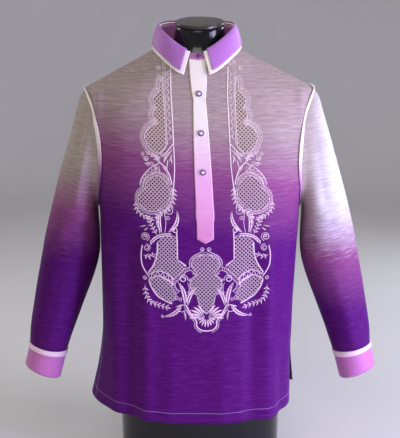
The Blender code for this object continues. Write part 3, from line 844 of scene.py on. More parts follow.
@once
def floor_paint():
    floor = settings("studio").floor
    made, nodes, shader = new_material("floor_paint")
    cloud = nodes.grain(nodes.object_place(), 2.2, 4.0, 0.6)
    soft = nodes.blend(nodes.span(cloud, 0.3, 0.7), floor, tuple(c * 0.96 for c in floor))
    colour_in(nodes, shader, soft, nodes.span(cloud, 0.3, 0.7, 0.75, 0.85))
    return made


# ---------------------------------------------------------------- body and sleeves

BODY_RADIUS = 0.165
ARM_RADIUS = 0.062

# The dye's middle height over the hem, half its fade, and its tilt from side to side
DYE_COLUMNS = ("piece", "middle", "half", "tilt")
DYES = (
    ("front", 0.515, 0.125, -0.21),
    ("back", 0.505, 0.125, -0.06),
    ("sleeve_right", 0.425, 0.105, 0.0),
    ("sleeve_left", 0.325, 0.115, 0.0),
    ("placket", 0.500, 0.110, 0.0),
    ("armhole_band_right", 0.515, 0.050, 0.0),
    ("armhole_band_left", 0.485, 0.060, 0.0),
)


def dye_at(piece, points):
    """How far each point is dyed, from 0 to 1. The panels are nowhere quite undyed."""
    row = dict(zip(DYE_COLUMNS, next(r for r in DYES if r[0] == piece)))
    middle = HEM + row["middle"] + row["tilt"] * points[:, 0]
    least = 0.1 if piece in ("front", "back") else 0
    return np.clip(0.5 + (middle - points[:, 2]) / row["half"] / 2, least, 1)


def make_panel(name, facing):
    """The front or back as one smooth sheer sheet, with its weft round the body."""
    made = smoothed(outer_sheet(name, SHEER_RIM), 3)
    crease(made)
    wrap_weave(made, (0, 0, 0), (0, 0, 1), (0, facing, 0), BODY_RADIUS)
    paint_value(made, "dye", lambda points: dye_at(name, points))
    fields = field_outlines() if name == "front" else []
    paint_value(made, "openwork", lambda points: depth_in_fields(points, fields))
    made = link(f"shirt_{name}", made, [sheer_cloth()], name)
    return thicken(made, settings("cloth").sheer_wall)


def make_sleeve(hand, side):
    """A sleeve, with its weft round the arm."""
    node = f"sleeve_{hand}"
    made = smoothed(outer_sheet(node, SHEER_RIM), 3)
    crease(made)
    foot = Vector((side * 0.318, -0.010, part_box(node)[0].z))
    head = Vector((side * 0.216, 0.0, HEM + 0.55))
    wrap_weave(made, foot, head - foot, (0, -1, 0), ARM_RADIUS)
    paint_value(made, "dye", lambda points: dye_at(node, points))
    # Painted glow of light shining through the left sleeve: its cloth is lightened towards near-white, and
    # the right sleeve's is not.
    paint_value(made, "backlight_glow", lambda points: ease(0.21, 0.26, points[:, 0]))  # the left sleeve only
    made = link(f"shirt_{node}", made, [sheer_cloth()], node)
    return thicken(made, settings("cloth").sheer_wall)


# ---------------------------------------------------------------- drawings on the front
# All in millimetres: out from the centre line, and up from the hem. Both sides are alike.


def curve(points, step=2.4):
    """A smooth curve through a few points, sampled about every step."""
    points = np.array(points, float)
    if len(points) == 2:
        count = max(2, int(np.linalg.norm(points[1] - points[0]) / step) + 1)
        return points[0] + (points[1] - points[0]) * np.linspace(0, 1, count)[:, None]
    longer = np.vstack([2 * points[0] - points[1], points, 2 * points[-1] - points[-2]])
    made = []
    for before, a, b, after in zip(longer, longer[1:], longer[2:], longer[3:]):
        count = max(2, int(np.linalg.norm(b - a) / step) + 1)
        t = np.linspace(0, 1, count, endpoint=False)[:, None]
        square = 2 * before - 5 * a + 4 * b - after
        cube = 3 * a - before - 3 * b + after
        made.append(0.5 * (2 * a + (b - before) * t + square * t**2 + cube * t**3))
    return np.vstack([*made, points[-1:]])


def to_the_right(path):
    """The direction to the right of a path, at each of its points."""
    run = np.gradient(path, axis=0)
    run /= np.linalg.norm(run, axis=1)[:, None] + 1e-9
    return np.stack([run[:, 1], -run[:, 0]], axis=1)


def beside(path, distance):
    """A path moved to its right by a distance."""
    return path + to_the_right(path) * distance


def bowed(base, tip, bend, step, least):
    """(places from 0 to 1, points) along a line that bows out to its right by bend."""
    base, tip = np.array(base, float), np.array(tip, float)
    run = tip - base
    reach = np.linalg.norm(run)
    right = np.array([run[1], -run[0]]) / reach
    t = np.linspace(0, 1, max(least, int(reach / step) + 1))
    return t, base + run * t[:, None] + right * (4 * t * (1 - t))[:, None] * bend


def spot_on(path, row):
    """The point of a path at a row number, which may lie between two rows."""
    return np.array([np.interp(row, range(len(path)), path[:, k]) for k in (0, 1)])


def round_path(centre, radius, turn):
    """Points round a centre, at turns clockwise from straight up."""
    around = np.stack([np.sin(turn), np.cos(turn)], axis=1)
    return np.array(centre, float) + around * np.reshape(radius, (-1, 1))


# The openwork fields, each as strokes that meet at their ends
CHEST_EDGE = (
    ((70, 693), (75, 680), (75, 666)),
    ((75, 666), (87, 655), (88, 643), (82, 631)),
    ((82, 631), (90, 624), (89, 613), (81, 605)),
    ((81, 605), (99, 597), (108, 578), (98, 556), (81.5, 546)),
)
CHEST_FIELD = (*CHEST_EDGE, ((81.5, 546), (68, 559)), ((68, 559), (67.5, 620), (70, 693)))
ROUND_FIELD = (
    ((66, 484), (76, 501), (92, 505), (108, 495), (112, 482)),
    ((112, 482), (125, 470), (126, 452), (112, 438), (94, 436), (78, 444)),
    ((78, 444), (68, 456), (64, 470), (66, 484)),
)
BOOT_OUTER = ((93, 376), (95, 350), (102, 330), (113, 313))
BOOT_TOP = ((55, 392), (66, 388), (86, 385), (93, 376))
ARC_TOP = ((114, 308), (102, 315), (89, 318), (73, 311), (62, 300))
ARC_LOW = ((113, 299), (101, 306), (89, 308), (76, 301), (64, 290))
C_OUTER = ((30, 327), (42, 323), (50, 314), (58, 307), (67, 297), (66, 284), (57, 271))
C_INNER = ((31, 320), (39, 317), (44, 309), (52, 302), (60, 294), (59, 285), (51, 277))
BOOT_FIELD = (
    BOOT_OUTER,
    ((113, 311), (102, 315), (89, 318), (73, 311), (62, 301)),
    ((62, 301), (50, 314), (42, 323)),
    ((42, 323), (38, 329)),
    ((38, 329), (55, 341)),
    ((55, 341), (55, 392)),
    BOOT_TOP,
)
HEEL_EDGE = ((112, 299), (106, 283), (94.5, 267), (80, 258), (67, 252))
HEEL_FIELD = (HEEL_EDGE, ((67, 252), (59, 270), (66, 284), (65, 290)), ARC_LOW[::-1])
MEDALLION_HALF = (
    ((0, 352), (12, 349), (23, 342), (28, 334), (26, 325), (16, 313)),
    ((16, 313), (28, 303), (31, 290), (27, 277), (18, 270)),
    ((18, 270), (15, 255), (8, 240), (0, 231)),
)


def outline(strokes, step=1.6):
    return np.vstack([curve(stroke, step)[:-1] for stroke in strokes])


def field_outlines():
    """The openwork fields as closed outlines, in metres from the centre line and the hem."""
    one_side = [outline(f) for f in (CHEST_FIELD, ROUND_FIELD, BOOT_FIELD, HEEL_FIELD)]
    half = outline(MEDALLION_HALF)
    medallion = np.vstack([half, half[::-1] * (-1, 1)])
    return [o * (side, 1) * MM for side in (-1, 1) for o in one_side] + [medallion * MM]


FIELD_MARGIN = 0.012  # depths are worked out this far round a field
FAR_OUTSIDE = -0.05


def depth_in_fields(points, fields):
    """How far each point is inside the nearest openwork field; outside it is below zero."""
    best = np.full(len(points), FAR_OUTSIDE)
    flat = np.stack([points[:, 0] - line_at(points[:, 2]), points[:, 2] - HEM], axis=1)
    for field in fields:
        low, high = field.min(0) - FIELD_MARGIN, field.max(0) + FIELD_MARGIN
        near = np.where(((flat > low) & (flat < high)).all(axis=1) & (points[:, 1] < 0))[0]
        spots = flat[near]
        away = np.full(len(spots), 1.0)
        inside = np.zeros(len(spots), bool)
        for a, b in zip(field, np.roll(field, -1, axis=0)):
            run = b - a
            if run @ run < TOUCH**2:
                continue
            t = np.clip((spots - a) @ run / (run @ run), 0, 1)
            away = np.minimum(away, np.linalg.norm(spots - a - t[:, None] * run, axis=1))
            crosses = (a[1] > spots[:, 1]) != (b[1] > spots[:, 1])
            rise = run[1] if abs(run[1]) > TOUCH**2 else TOUCH**2
            reach = a[0] + (spots[:, 1] - a[1]) * run[0] / rise
            inside ^= crosses & (spots[:, 0] < reach)
        best[near] = np.maximum(best[near], np.where(inside, away, -away))
    return best


THREAD_WALL = 0.0003

# Sections of thread, as (place across from -1 to 1, share of the rise)
ARCH = ((-1, 0), (-0.55, 0.8), (0, 1), (0.55, 0.8), (1, 0))
ROUND = ((-1, 0), (0, 1), (1, 0))
LEAF_HALVES = (((-1, 0), (-0.62, 1), (-0.22, 0.1)), ((0.22, 0.1), (0.62, 1), (1, 0)))


class Threadwork:
    """Satin and net threads laid on the front, one grid of faces each."""

    def __init__(self, shell):
        self.shell = shell
        self.made = bmesh.new()
        self.weave = self.made.loops.layers.uv.new("weave")
        self.side = 1
        self.lift = 0.0002
        self.fineness = settings("thread").fineness

    def place(self, spot, lift):
        """The point of the front at a drawing's spot, this far off the cloth."""
        z = HEM + spot[1] * MM
        point, normal = self.shell.from_front(line_at(z) + self.side * spot[0] * MM, z)
        return point + normal * lift

    def ribbon(self, path, width, rise=None, section=None, ends=0.35):
        """A raised ribbon along a path. width is one number, or one for each point."""
        path = np.asarray(path, float)
        widths = np.broadcast_to(np.asarray(width, float), len(path)) * self.fineness
        if ends and np.ndim(width) == 0:
            widths[[0, -1]] *= ends
        rise = settings("thread").satin_rise if rise is None else rise
        section = section or (ARCH if np.max(widths) > 2.2 else ROUND)
        right = to_the_right(path)
        along = np.concatenate([[0], np.cumsum(np.linalg.norm(np.diff(path, axis=0), axis=1))]) * MM
        grid = bmesh.ops.create_grid(
            self.made, x_segments=len(section) - 1, y_segments=len(path) - 1, size=1
        )["verts"]
        maps = {}
        for i, vert in enumerate(grid):
            row, column = divmod(i, len(section))
            across, up = section[column] if self.side > 0 else section[len(section) - 1 - column]
            spot = path[row] + right[row] * across * widths[row] / 2
            squeeze = min(1.0, widths[row] / 1.2)
            vert.co = self.place(spot, self.lift + rise * up * squeeze)
            maps[vert] = (along[row], across * widths[row] * MM / 2)
        map_grid(grid, self.weave, maps)

    def line(self, points, width):
        self.ribbon(curve(points), width)

    def leaf(self, base, tip, width, bend=0.0, teeth=0):
        """A split leaf, in two satin halves with the cloth showing between them."""
        t, path = bowed(base, tip, bend, step=2.0, least=5)
        widths = width * np.sin(math.pi * np.clip(t, 0.03, 0.97) ** 0.8) ** 0.8
        if teeth:
            widths *= 1 - 0.3 * np.abs(np.sin(math.pi * teeth * t))
        for half in LEAF_HALVES:
            self.ribbon(path, widths, section=half)

    def petal(self, base, tip, width, bend=0.0):
        """A plump leaflet in one piece."""
        t, path = bowed(base, tip, bend, step=2.4, least=4)
        widths = width * np.sin(math.pi * np.clip(t, 0.05, 0.95) ** 1.2) ** 0.7
        self.ribbon(path, widths, section=ROUND)

    def scroll(self, centre, radius, turns=1.4, start=0.0, hand=1, width=1.6):
        """A curl that winds in to a knob. start is in degrees from straight up, clockwise."""
        t = np.linspace(0, 1, max(10, int(turns * 14)))
        turn = math.radians(start) + hand * t * turns * 2 * math.pi
        path = round_path(centre, radius * (1 - 0.72 * t), turn)
        self.ribbon(path, width * (0.75 + 0.4 * t), section=ROUND)

    def ring(self, centre, radius, width):
        self.ribbon(round_path(centre, radius, np.linspace(0, 2 * math.pi, 17)), width, ends=0)

    def spray(self, points, count, leaf, width, spread=48):
        """A stem with leaflets in pairs, and one at its tip."""
        path = curve(points)
        self.ribbon(path, 1.3)
        run = np.gradient(path, axis=0)
        for i in range(count):
            at = (i + 0.6) / count * (len(path) - 1)
            spot = spot_on(path, at)
            ahead = math.atan2(*run[int(round(at))])
            for turn in (-spread, spread):
                angle = ahead + math.radians(turn)
                out = np.array([math.sin(angle), math.cos(angle)])
                self.petal(spot + out * 0.6, spot + out * leaf, width, bend=math.copysign(0.7, -turn))
        ahead = run[-1] / np.linalg.norm(run[-1])
        self.petal(path[-1], path[-1] + ahead * leaf, width)

    def zigzag(self, first, second, count, width):
        """Straight satin bars from one curve to the other and back."""
        first, second = curve(first), curve(second)
        spots = []
        for i in range(count + 1):
            rail = (first, second)[i % 2]
            spots.append(spot_on(rail, i / count * (len(rail) - 1)))
        for ends in zip(spots, spots[1:]):
            self.line(ends, width)

    def rungs(self, first, second, count, width):
        """Short bars across from one curve to the other."""
        first, second = curve(first), curve(second)
        for i in range(count):
            at = (i + 0.5) / count
            self.bar(*(spot_on(rail, at * (len(rail) - 1)) for rail in (first, second)), width)

    def bar(self, start, end, width):
        """A straight stitch, as wide at its ends as in its middle."""
        self.ribbon(curve((start, end)), width, ends=1)

    def finish(self, name, material, slot):
        bmesh.ops.remove_doubles(self.made, verts=self.made.verts, dist=TOUCH)
        thicken(link(name, self.made, [material]), THREAD_WALL)


def draw_rails(work):
    """The long rails beside the placket, the ladder between them and the loops on top."""
    work.line(((55, 710), (53.5, 640), (53.5, 566)), 3.2)
    work.line(((53.5, 566), (54, 520), (57.5, 484), (61, 466)), 2.8)
    work.line(((64.8, 712), (64.8, 563)), 1.5)
    work.line(((67.2, 700), (67.2, 561)), 1.4)
    work.zigzag(((57, 703), (56, 573)), ((63.4, 703), (63.4, 573)), 19, 1.7)
    for i in range(9):
        level = 696 - i * 14.4
        work.petal((57.2, level), (61, level - 1), 2.2)
    work.line(((76, 541), (66, 552), (53.5, 567)), 3.0)
    work.line(((72, 537), (61, 549), (56, 556)), 1.6)
    work.scroll((67, 718), 4.2, 1.1, 180, 1, 1.7)
    work.scroll((58, 716), 4.2, 1.1, 180, -1, 1.7)
    work.scroll((79, 707), 4.8, 1.3, 250, 1, 1.8)
    work.line(((70, 694), (68.5, 706), (70, 716)), 1.4)


def draw_chest(work):
    """The scalloped chest field's borders and the sprigs under it."""
    for stroke in CHEST_FIELD:
        work.line(stroke, 2.2)
    for stroke in CHEST_EDGE:
        path = curve(stroke, 2.0)
        for away, width in ((-3.4, 1.3), (-6.2, 1.1), (-9.0, 0.9)):
            work.ribbon(beside(path, away), width)
        ticks = beside(path, -3.4), beside(path, -9.0)
        for a, b in list(zip(*ticks))[1:-1:2]:
            work.bar(a, b, 0.9)
    work.leaf((74, 530), (59, 553), 7, 2, 5)
    work.leaf((64, 532), (58, 547), 4.5, -1)
    work.scroll((107, 538), 5.2, 1.6, 30, 1, 2.0)
    work.ring((97, 528), 2.8, 1.6)
    work.spray(((84, 531), (92, 541), (103, 548)), 3, 6.5, 2.6)
    work.spray(((86, 532), (83, 540), (76, 546)), 2, 5.5, 2.4)
    work.petal((100, 531), (112, 527), 3)
    work.leaf((82, 529), (98, 551), 7, -3, 5)
    work.scroll((113, 547), 4.2, 1.3, 200, -1, 1.6)
    work.scroll((104, 527), 3.6, 1.2, 100, 1, 1.6)
    work.petal((60, 540), (58, 528), 2.8)
    work.petal((66, 536), (68, 524), 2.8)


def draw_round(work):
    """The arches, lobed field and leaf sprays of the second field."""
    work.line(((121, 484), (117, 500), (101, 519), (81, 530)), 2.0)
    work.ribbon(beside(curve(((120, 486), (116, 499), (101, 516), (83, 527))), 3.0), 1.1)
    work.line(((83, 532), (71, 520), (64, 505), (60, 488)), 3.0)
    work.line(((77, 523), (69, 510), (64.5, 494)), 1.6)
    work.line(((116, 487), (108, 502), (92, 512), (75, 509), (66, 497)), 1.7)
    arch = (119, 492), (112, 507), (98, 519), (84, 525)
    work.zigzag(arch, ((114, 492), (106, 505), (92, 513), (78, 511)), 12, 1.5)
    for stroke in ROUND_FIELD:
        path = curve(stroke)
        work.ribbon(path, 1.9)
        for away, width in ((-3.2, 1.5), (-5.6, 1.1)):
            work.ribbon(beside(path, away), width)
    for stroke in ROUND_FIELD[:2]:
        path = curve(stroke, 2.4)
        for a, b in list(zip(beside(path, -3.2), beside(path, -5.6)))[1:-1:2]:
            work.bar(a, b, 1.0)
    work.scroll((70, 520), 4.0, 1.2, 300, 1, 1.6)
    work.scroll((90, 520), 4.4, 1.3, 60, -1, 1.6)
    work.spray(((57, 486), (58, 464), (66, 445), (90, 428)), 9, 8.5, 3.0, 42)
    work.spray(((133, 456), (130, 438), (118, 427), (104, 421)), 7, 8.0, 3.0, 42)


def draw_stems(work):
    """Plumes, scrolls and leaf sprays that rise from the boot."""
    work.leaf((84, 395), (82, 436), 11, 5, 7)
    work.leaf((71, 396), (53, 438), 12, -8, 7)
    work.line(((84, 394), (93, 410), (92, 424)), 1.4)
    work.line(((88, 392), (90, 410), (95, 426)), 1.6)
    work.line(((78, 394), (75, 415), (77, 436), (68, 446)), 1.7)
    work.scroll((68, 437), 8.6, 1.3, 20, -1, 1.9)
    work.scroll((71, 423), 4.5, 1.2, 60, -1, 1.7)
    work.scroll((58.5, 399), 6.5, 1.3, 95, -1, 2.4)
    work.spray(((93, 390), (101, 404), (109, 422)), 5, 8, 3.0)
    work.spray(((94, 432), (91, 424), (90, 414)), 2, 6.5, 2.6)
    work.leaf((113, 408), (127, 405), 4, 0, 3)
    work.petal((110, 404), (118, 398), 3)


def draw_boot(work):
    """The boot-shaped field, its curved handle and the arc and heel under it."""
    for half in (-1.9, 1.9):
        work.ribbon(beside(curve(((105, 375), (96, 384), (86, 388.5), (76, 390.5), (65, 390))), half), 3.2)
    work.line(((105, 370), (107, 378)), 3.0)
    work.line(((55, 398), (55, 341)), 3.2)
    work.line(((55, 341), (38, 329)), 3.2)
    work.line(BOOT_OUTER, 3.4)
    work.line(((123, 369), (126, 350), (124, 328), (113, 308)), 3.0)
    work.scroll((117, 386), 9.2, 1.7, 200, 1, 2.0)
    work.ring((117, 388), 2.6, 1.8)
    work.scroll((114, 364), 7.4, 1.6, 20, -1, 2.0)
    work.spray(((122, 350), (112, 346), (103, 349)), 3, 7.5, 3.0)
    work.line(ARC_TOP, 2.8)
    work.line(ARC_LOW, 2.8)
    work.zigzag(ARC_TOP, ARC_LOW, 11, 2.0)
    work.scroll((119, 303), 4.2, 1.2, 0, 1, 2.0)
    work.leaf((90, 307), (60, 289), 5, 2)
    work.line(HEEL_EDGE, 3.6)
    work.line(C_OUTER, 1.7)
    work.line(C_INNER, 1.7)
    work.rungs(C_OUTER, C_INNER, 17, 1.3)
    work.scroll((44, 303), 8.8, 1.4, 250, 1, 2.6)
    work.scroll((31, 300), 3.6, 1.2, 90, -1, 1.8)
    work.line(((36, 262), (33, 284), (36, 296)), 1.5)
    work.scroll((32.5, 275), 4.2, 1.3, 180, 1, 1.7)
    work.scroll((59, 265), 5.2, 1.3, 120, 1, 1.9)
    work.scroll((50, 262), 4.0, 1.2, 200, -1, 1.6)
    work.spray(((120, 289), (117, 268), (106, 254), (78, 245)), 9, 8.5, 3.2, 45)


def draw_foot(work):
    """The big leaves, shells and base band of the medallion."""
    work.leaf((49, 251), (85, 226), 12, 7, 7)
    work.scroll((86, 226), 3.2, 1.0, 0, 1, 2.0)
    work.leaf((42, 250), (55, 297), 13, -5, 8)
    work.leaf((36, 250), (17, 286), 12, 5, 7)
    work.leaf((44, 238), (41, 218), 4.4, 1)
    work.line(((60, 246), (48, 250), (38, 249)), 2.6)
    work.line(((56, 240), (48, 236), (40, 240)), 1.8)
    for i in range(5):
        angle = math.radians(1 + 15 * i)
        out = np.array([math.cos(angle), math.sin(angle)])
        root = np.array([2, 222])
        work.petal(root + out * 9, root + out * (34 - 1.2 * abs(i - 2)), 5.6, bend=-2.2)
        work.ribbon(curve((root + out * 3, root + out * 9)), 1.3)
    for i in range(4):
        angle = math.radians(-82 + 21 * i)
        out = np.array([math.cos(angle), math.sin(angle)])
        root = np.array([0, 225])
        work.petal(root + out * 5, root + out * (20 - 0.6 * i), 4.2, bend=-0.8)
    band = curve(((40, 250), (34, 238), (26, 225), (20, 217), (19.5, 207), (12, 199), (0, 196.5)))
    work.ribbon(band, 3.6, ends=1)
    work.ribbon(beside(band, -4.2)[:-4], 1.5)
    work.ribbon(beside(curve(((36, 243), (27, 231), (21, 224))), -4.5), 2.0)
    for stroke in MEDALLION_HALF[:2]:
        work.line(stroke, 2.0)
    work.line(MEDALLION_HALF[2], 1.6)
    work.line(((31, 326), (31.5, 338), (24, 349), (10, 356), (3, 360)), 1.9)
    work.line(((27, 341), (20, 348), (8, 352), (0, 357)), 1.4)
    work.rungs(((31, 334), (24, 349), (10, 356)), ((28, 334), (21, 346), (9, 352)), 9, 1.0)
    work.scroll((7, 362), 4.4, 1.3, 235, 1, 1.9)
    work.leaf((27, 314), (17, 310), 3.6, 1)
    work.line(((31, 322), (26, 318), (22, 314)), 1.8)
    work.scroll((27, 284), 2.6, 1.0, 90, -1, 1.4)


DRAWINGS = (
    ("embroidery_rails", (draw_rails,)),
    ("embroidery_chest", (draw_chest, draw_round)),
    ("embroidery_plumes", (draw_stems, draw_boot)),
    ("embroidery_medallion", (draw_foot,)),
)


NET_RISE = 0.0006
LEAST_THREAD = 0.0015  # a shorter one is left out


def net_lines(field, slope, pitch):
    """Where a family of diagonal lines crosses a field, as pairs of points."""
    along = np.array([1.0, slope]) / math.sqrt(2)
    across = np.array([-along[1], along[0]])
    offsets = field @ across
    for k in range(math.ceil(offsets.min() / pitch), math.floor(offsets.max() / pitch) + 1):
        level, cuts = k * pitch, []
        for a, b in zip(field, np.roll(field, -1, axis=0)):
            da, db = a @ across - level, b @ across - level
            if (da > 0) != (db > 0):
                cuts.append(((a + (b - a) * da / (da - db)) @ along))
        cuts.sort()
        for start, end in zip(cuts[::2], cuts[1::2]):
            if end - start > LEAST_THREAD:
                yield along * start + across * level, along * end + across * level


def crossings(field, pitch):
    """The places in a field's box where threads of both families cross."""
    half = pitch / math.sqrt(2)
    low, high = np.floor(field.min(0) / half), np.ceil(field.max(0) / half)
    for i in range(int(low[0]), int(high[0]) + 1):
        for j in range(int(low[1]), int(high[1]) + 1):
            if (i + j) % 2 == 0:
                yield np.array([i * half, j * half])


def depth_of(spot, field):
    """How far one spot is inside a field, below zero outside."""
    point = np.array([[spot[0] + line_at(HEM + spot[1]), -1.0, HEM + spot[1]]])
    return depth_in_fields(point, [field])[0]


def make_net(shell):
    """The openwork: diagonal threads both ways in every field, with a knot where they cross."""
    thread = settings("thread")
    work = Threadwork(shell)
    work.fineness = 1.0
    fields = field_outlines()
    for field in fields:
        for layer, slope in enumerate((1, -1)):
            work.lift = 0.00012 * layer
            for start, end in net_lines(field, slope, thread.net_pitch):
                path = curve((start / MM, end / MM), 4.0)
                work.ribbon(path, thread.net_thread / MM, rise=NET_RISE, section=ROUND, ends=1)
    radius = thread.knot / 2
    for field in fields:
        for spot in crossings(field, thread.net_pitch):
            if depth_of(spot, field) < radius * 0.6:
                continue
            z = HEM + spot[1]
            point, normal = shell.from_front(line_at(z) + spot[0], z)
            turn = normal.to_track_quat("Z", "Y").to_matrix().to_4x4()
            place = Matrix.Translation(point + normal * NET_RISE) @ turn @ Matrix.Diagonal((1, 1, 0.45, 1))
            bmesh.ops.create_icosphere(
                work.made, subdivisions=1, radius=radius, matrix=place, calc_uvs=False
            )
    work.finish("openwork_net", net_thread(), "cream")


# ---------------------------------------------------------------- trims


PLACKET_GAP = 0.0003  # from the front's cloth


def make_placket(shell):
    """The placket, laid on the front and dipped with it."""
    made = outer_sheet("placket", DOUBLE_RIM)
    bmesh.ops.subdivide_edges(made, edges=made.edges, cuts=5, use_grid_fill=True)
    made.normal_update()
    wall = settings("cloth").double_wall
    for vert in made.verts:
        point, _ = shell.near(vert.co)
        vert.co = point + vert.normal * (wall + PLACKET_GAP)
    bmesh.ops.smooth_vert(
        made,
        verts=[v for v in made.verts if not v.is_boundary],
        factor=0.5,
        use_axis_x=False,
        use_axis_y=True,
        use_axis_z=False,
    )
    wrap_weave(made, (0, 0, 0), (0, 0, 1), (0, -1, 0), 0.12)
    paint_value(made, "dye", lambda points: dye_at("placket", points))
    return thicken(link("placket_strip", made, [placket_cloth()], "placket"), wall)


def make_double(node, material, share_of_folds=0.3, guide=None):
    """A doubled-cloth piece from its CAD wall, with its weft round an upright axis."""
    made = smoothed(outer_sheet(node, DOUBLE_RIM, guide), 2)
    crease(made, share_of_folds)
    if any(row[0] == node for row in DYES):
        paint_value(made, "dye", lambda points: dye_at(node, points))
    low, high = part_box(node)
    middle = box_centre(node)
    wrap_weave(made, (middle.x, middle.y, 0), (0, 0, 1), (0, -1, 0), max(0.03, (high.x - low.x) / 2))
    return thicken(link(f"{node}_cloth", made, [material], node), settings("cloth").double_wall)


# ---------------------------------------------------------------- stitches

# A stitch's rise over the cloth: at its two sides, and along its middle
STITCH_SIDE = 0.00008
STITCH_RISE = 0.00038


class Seamwork:
    """Running stitches, laid on any piece."""

    def __init__(self):
        self.made = bmesh.new()
        self.weave = self.made.loops.layers.uv.new("weave")

    def stitch(self, start, end, normal, width):
        """One stitch: a small rounded bar between two points."""
        run = end - start
        right = run.cross(normal).normalized() * width / 2
        grid = bmesh.ops.create_grid(self.made, x_segments=2, y_segments=3, size=1)["verts"]
        maps = {}
        for i, vert in enumerate(grid):
            row, column = divmod(i, 3)
            across, t = column - 1, row / 3
            swell = 0.55 + 0.45 * math.sin(math.pi * min(max(t, 0.12), 0.88))
            up = (STITCH_SIDE, STITCH_RISE, STITCH_SIDE)[column] * (0.4 if row in (0, 3) else 1)
            vert.co = start + run * t + right * across * swell + normal * up
            maps[vert] = (t * run.length, across * width / 2)
        map_grid(grid, self.weave, maps)

    def follow(self, spots, width=0.0009):
        """Stitches along (point, normal) spots."""
        thread = settings("thread")
        points = np.array([point for point, _ in spots])
        normals = np.array([normal for _, normal in spots])
        gone = np.concatenate([[0], np.cumsum(np.linalg.norm(np.diff(points, axis=0), axis=1))])

        def at(values, way):
            return Vector([np.interp(way, gone, values[:, k]) for k in range(3)])

        way = 0.0
        while way + thread.stitch < gone[-1]:
            end = way + thread.stitch
            normal = at(normals, way + thread.stitch / 2).normalized()
            self.stitch(at(points, way), at(points, end), normal, width)
            way = end + thread.stitch_gap

    def finish(self, name, material, slot):
        thicken(link(name, self.made, [material]), THREAD_WALL)


CORNER = math.radians(50)  # a seam that turns by more starts a new run


def chained(line):
    """The edges of a set as chains of points."""
    while line:
        edge = line.pop()
        chain = [edge.verts[0], edge.verts[1]]
        onward = [edge]
        while onward:
            onward = [e for e in chain[-1].link_edges if e in line][:1]
            line.difference_update(onward)
            chain += [e.other_vert(chain[-1]) for e in onward]
        yield [v.co.copy() for v in chain]


def split_at_corners(points):
    """The stretches of a chain between its corners."""
    start = 0
    for i in range(1, len(points) - 1):
        if (points[i] - points[i - 1]).angle(points[i + 1] - points[i], 0) > CORNER:
            yield points[start : i + 1]
            start = i
    yield points[start:]


def edge_runs(node, inset, shell):
    """Lines that follow a doubled piece's border, this far in, as lists of (point, normal)."""
    made = outer_sheet(node, DOUBLE_RIM)
    bmesh.ops.inset_region(
        made, faces=made.faces, thickness=inset, use_even_offset=True, use_boundary=True
    )
    made.normal_update()
    rim_faces = {f for v in made.verts if v.is_boundary for f in v.link_faces}
    line = {
        e for e in made.edges if len(e.link_faces) == 2 and sum(f in rim_faces for f in e.link_faces) == 1
    }
    runs = []
    for points in chained(line):
        for part in split_at_corners(points):
            fine = []
            for a, b in zip(part, part[1:]):
                count = max(1, int((b - a).length / 0.0025))
                fine += [a.lerp(b, k / count) for k in range(count)]
            runs.append([shell.near(p) for p in [*fine, part[-1]]])
    made.free()
    return runs


HEM_INSET = 0.023
SLIT_INSET = 0.022
SLIT_RADIUS = 0.19  # of the body at its sides
SLIT_HEIGHTS = np.arange(0.030, 0.166, 0.004)


def hem_runs(shell, facing):
    """The hem stitch and the two slit stitches of a panel, as lists of (point, normal)."""
    middle = 0.0 if facing < 0 else math.pi
    hem = []
    for degrees in np.arange(-84, 84.1, 1.0):
        turn = middle + math.radians(degrees)
        z = HEM + 0.075
        while shell.round_body(turn, z)[0] is not None and z > HEM - 0.02:
            z -= 0.001
        point, normal = shell.round_body(turn, z + HEM_INSET)
        if point is not None and z < HEM + 0.07:
            hem.append((point, normal))
    runs = [hem]
    for side in (-1, 1):
        slit = []
        for z in HEM + SLIT_HEIGHTS:
            cloth, clear = 60.0, 120.0  # the panel's edge lies between these turns
            for _ in range(14):
                turn = (cloth + clear) / 2
                if shell.round_body(middle + side * math.radians(turn), z)[0] is None:
                    clear = turn
                else:
                    cloth = turn
            turn = math.radians(cloth) - SLIT_INSET / SLIT_RADIUS
            point, normal = shell.round_body(middle + side * turn, z)
            if point is not None:
                slit.append((point, normal))
        if len(slit) > 3:
            runs.append(slit)
    return runs


# ---------------------------------------------------------------- buttons

# A button's section: reach and rise as shares of its diameter, from its back to its centre
BUTTON_SECTION = (
    (0.000, 0.000),
    (0.400, 0.000),
    (0.480, 0.040),
    (0.500, 0.110),
    (0.490, 0.190),
    (0.450, 0.245),
    (0.390, 0.250),
    (0.330, 0.215),
    (0.290, 0.180),
    (0.270, 0.200),
    (0.220, 0.245),
    (0.150, 0.275),
    (0.070, 0.288),
    (0.000, 0.292),
)


def make_button(node, name, shell):
    """A spun button with a dark rim round a pale dome, in its CAD button's place. The collar's
    is dark all over."""
    verts = np.array([v.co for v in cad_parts[node].data.vertices])
    middle = verts.mean(0)
    _, _, axes = np.linalg.svd(verts - middle)
    out = axes[2]
    depth = (verts - middle) @ out
    wide = np.linalg.norm(verts - middle - depth[:, None] * out, axis=1)
    # Buttons of the front face forwards, and those of the cuffs face back and outwards
    faces = (0, -1, 0) if abs(middle[0]) < 0.1 else (math.copysign(0.6, middle[0]), 0.8, 0)
    if np.dot(out, faces) < 0:
        out, depth = -out, -depth
    diameter = 2 * wide.max()
    made = spun(np.array(BUTTON_SECTION) * diameter, 32)
    bmesh.ops.recalc_face_normals(made, faces=made.faces)
    pearl = settings("button").pearl_share * diameter / 2
    for face in made.faces:
        centre = face.calc_center_median()
        pale = node != "button_neck" and math.hypot(centre.x, centre.y) < pearl and centre.z > 0.1 * diameter
        face.material_index = int(pale)
    point, _ = shell.near(Vector(middle + out * depth.min()))
    foot = point + Vector(out) * 0.0002
    turn = Vector(out).to_track_quat("Z", "Y").to_matrix().to_4x4()
    bmesh.ops.transform(made, matrix=Matrix.Translation(foot) @ turn, verts=made.verts)
    link(name, made, [button_rim(), button_pearl()], node)


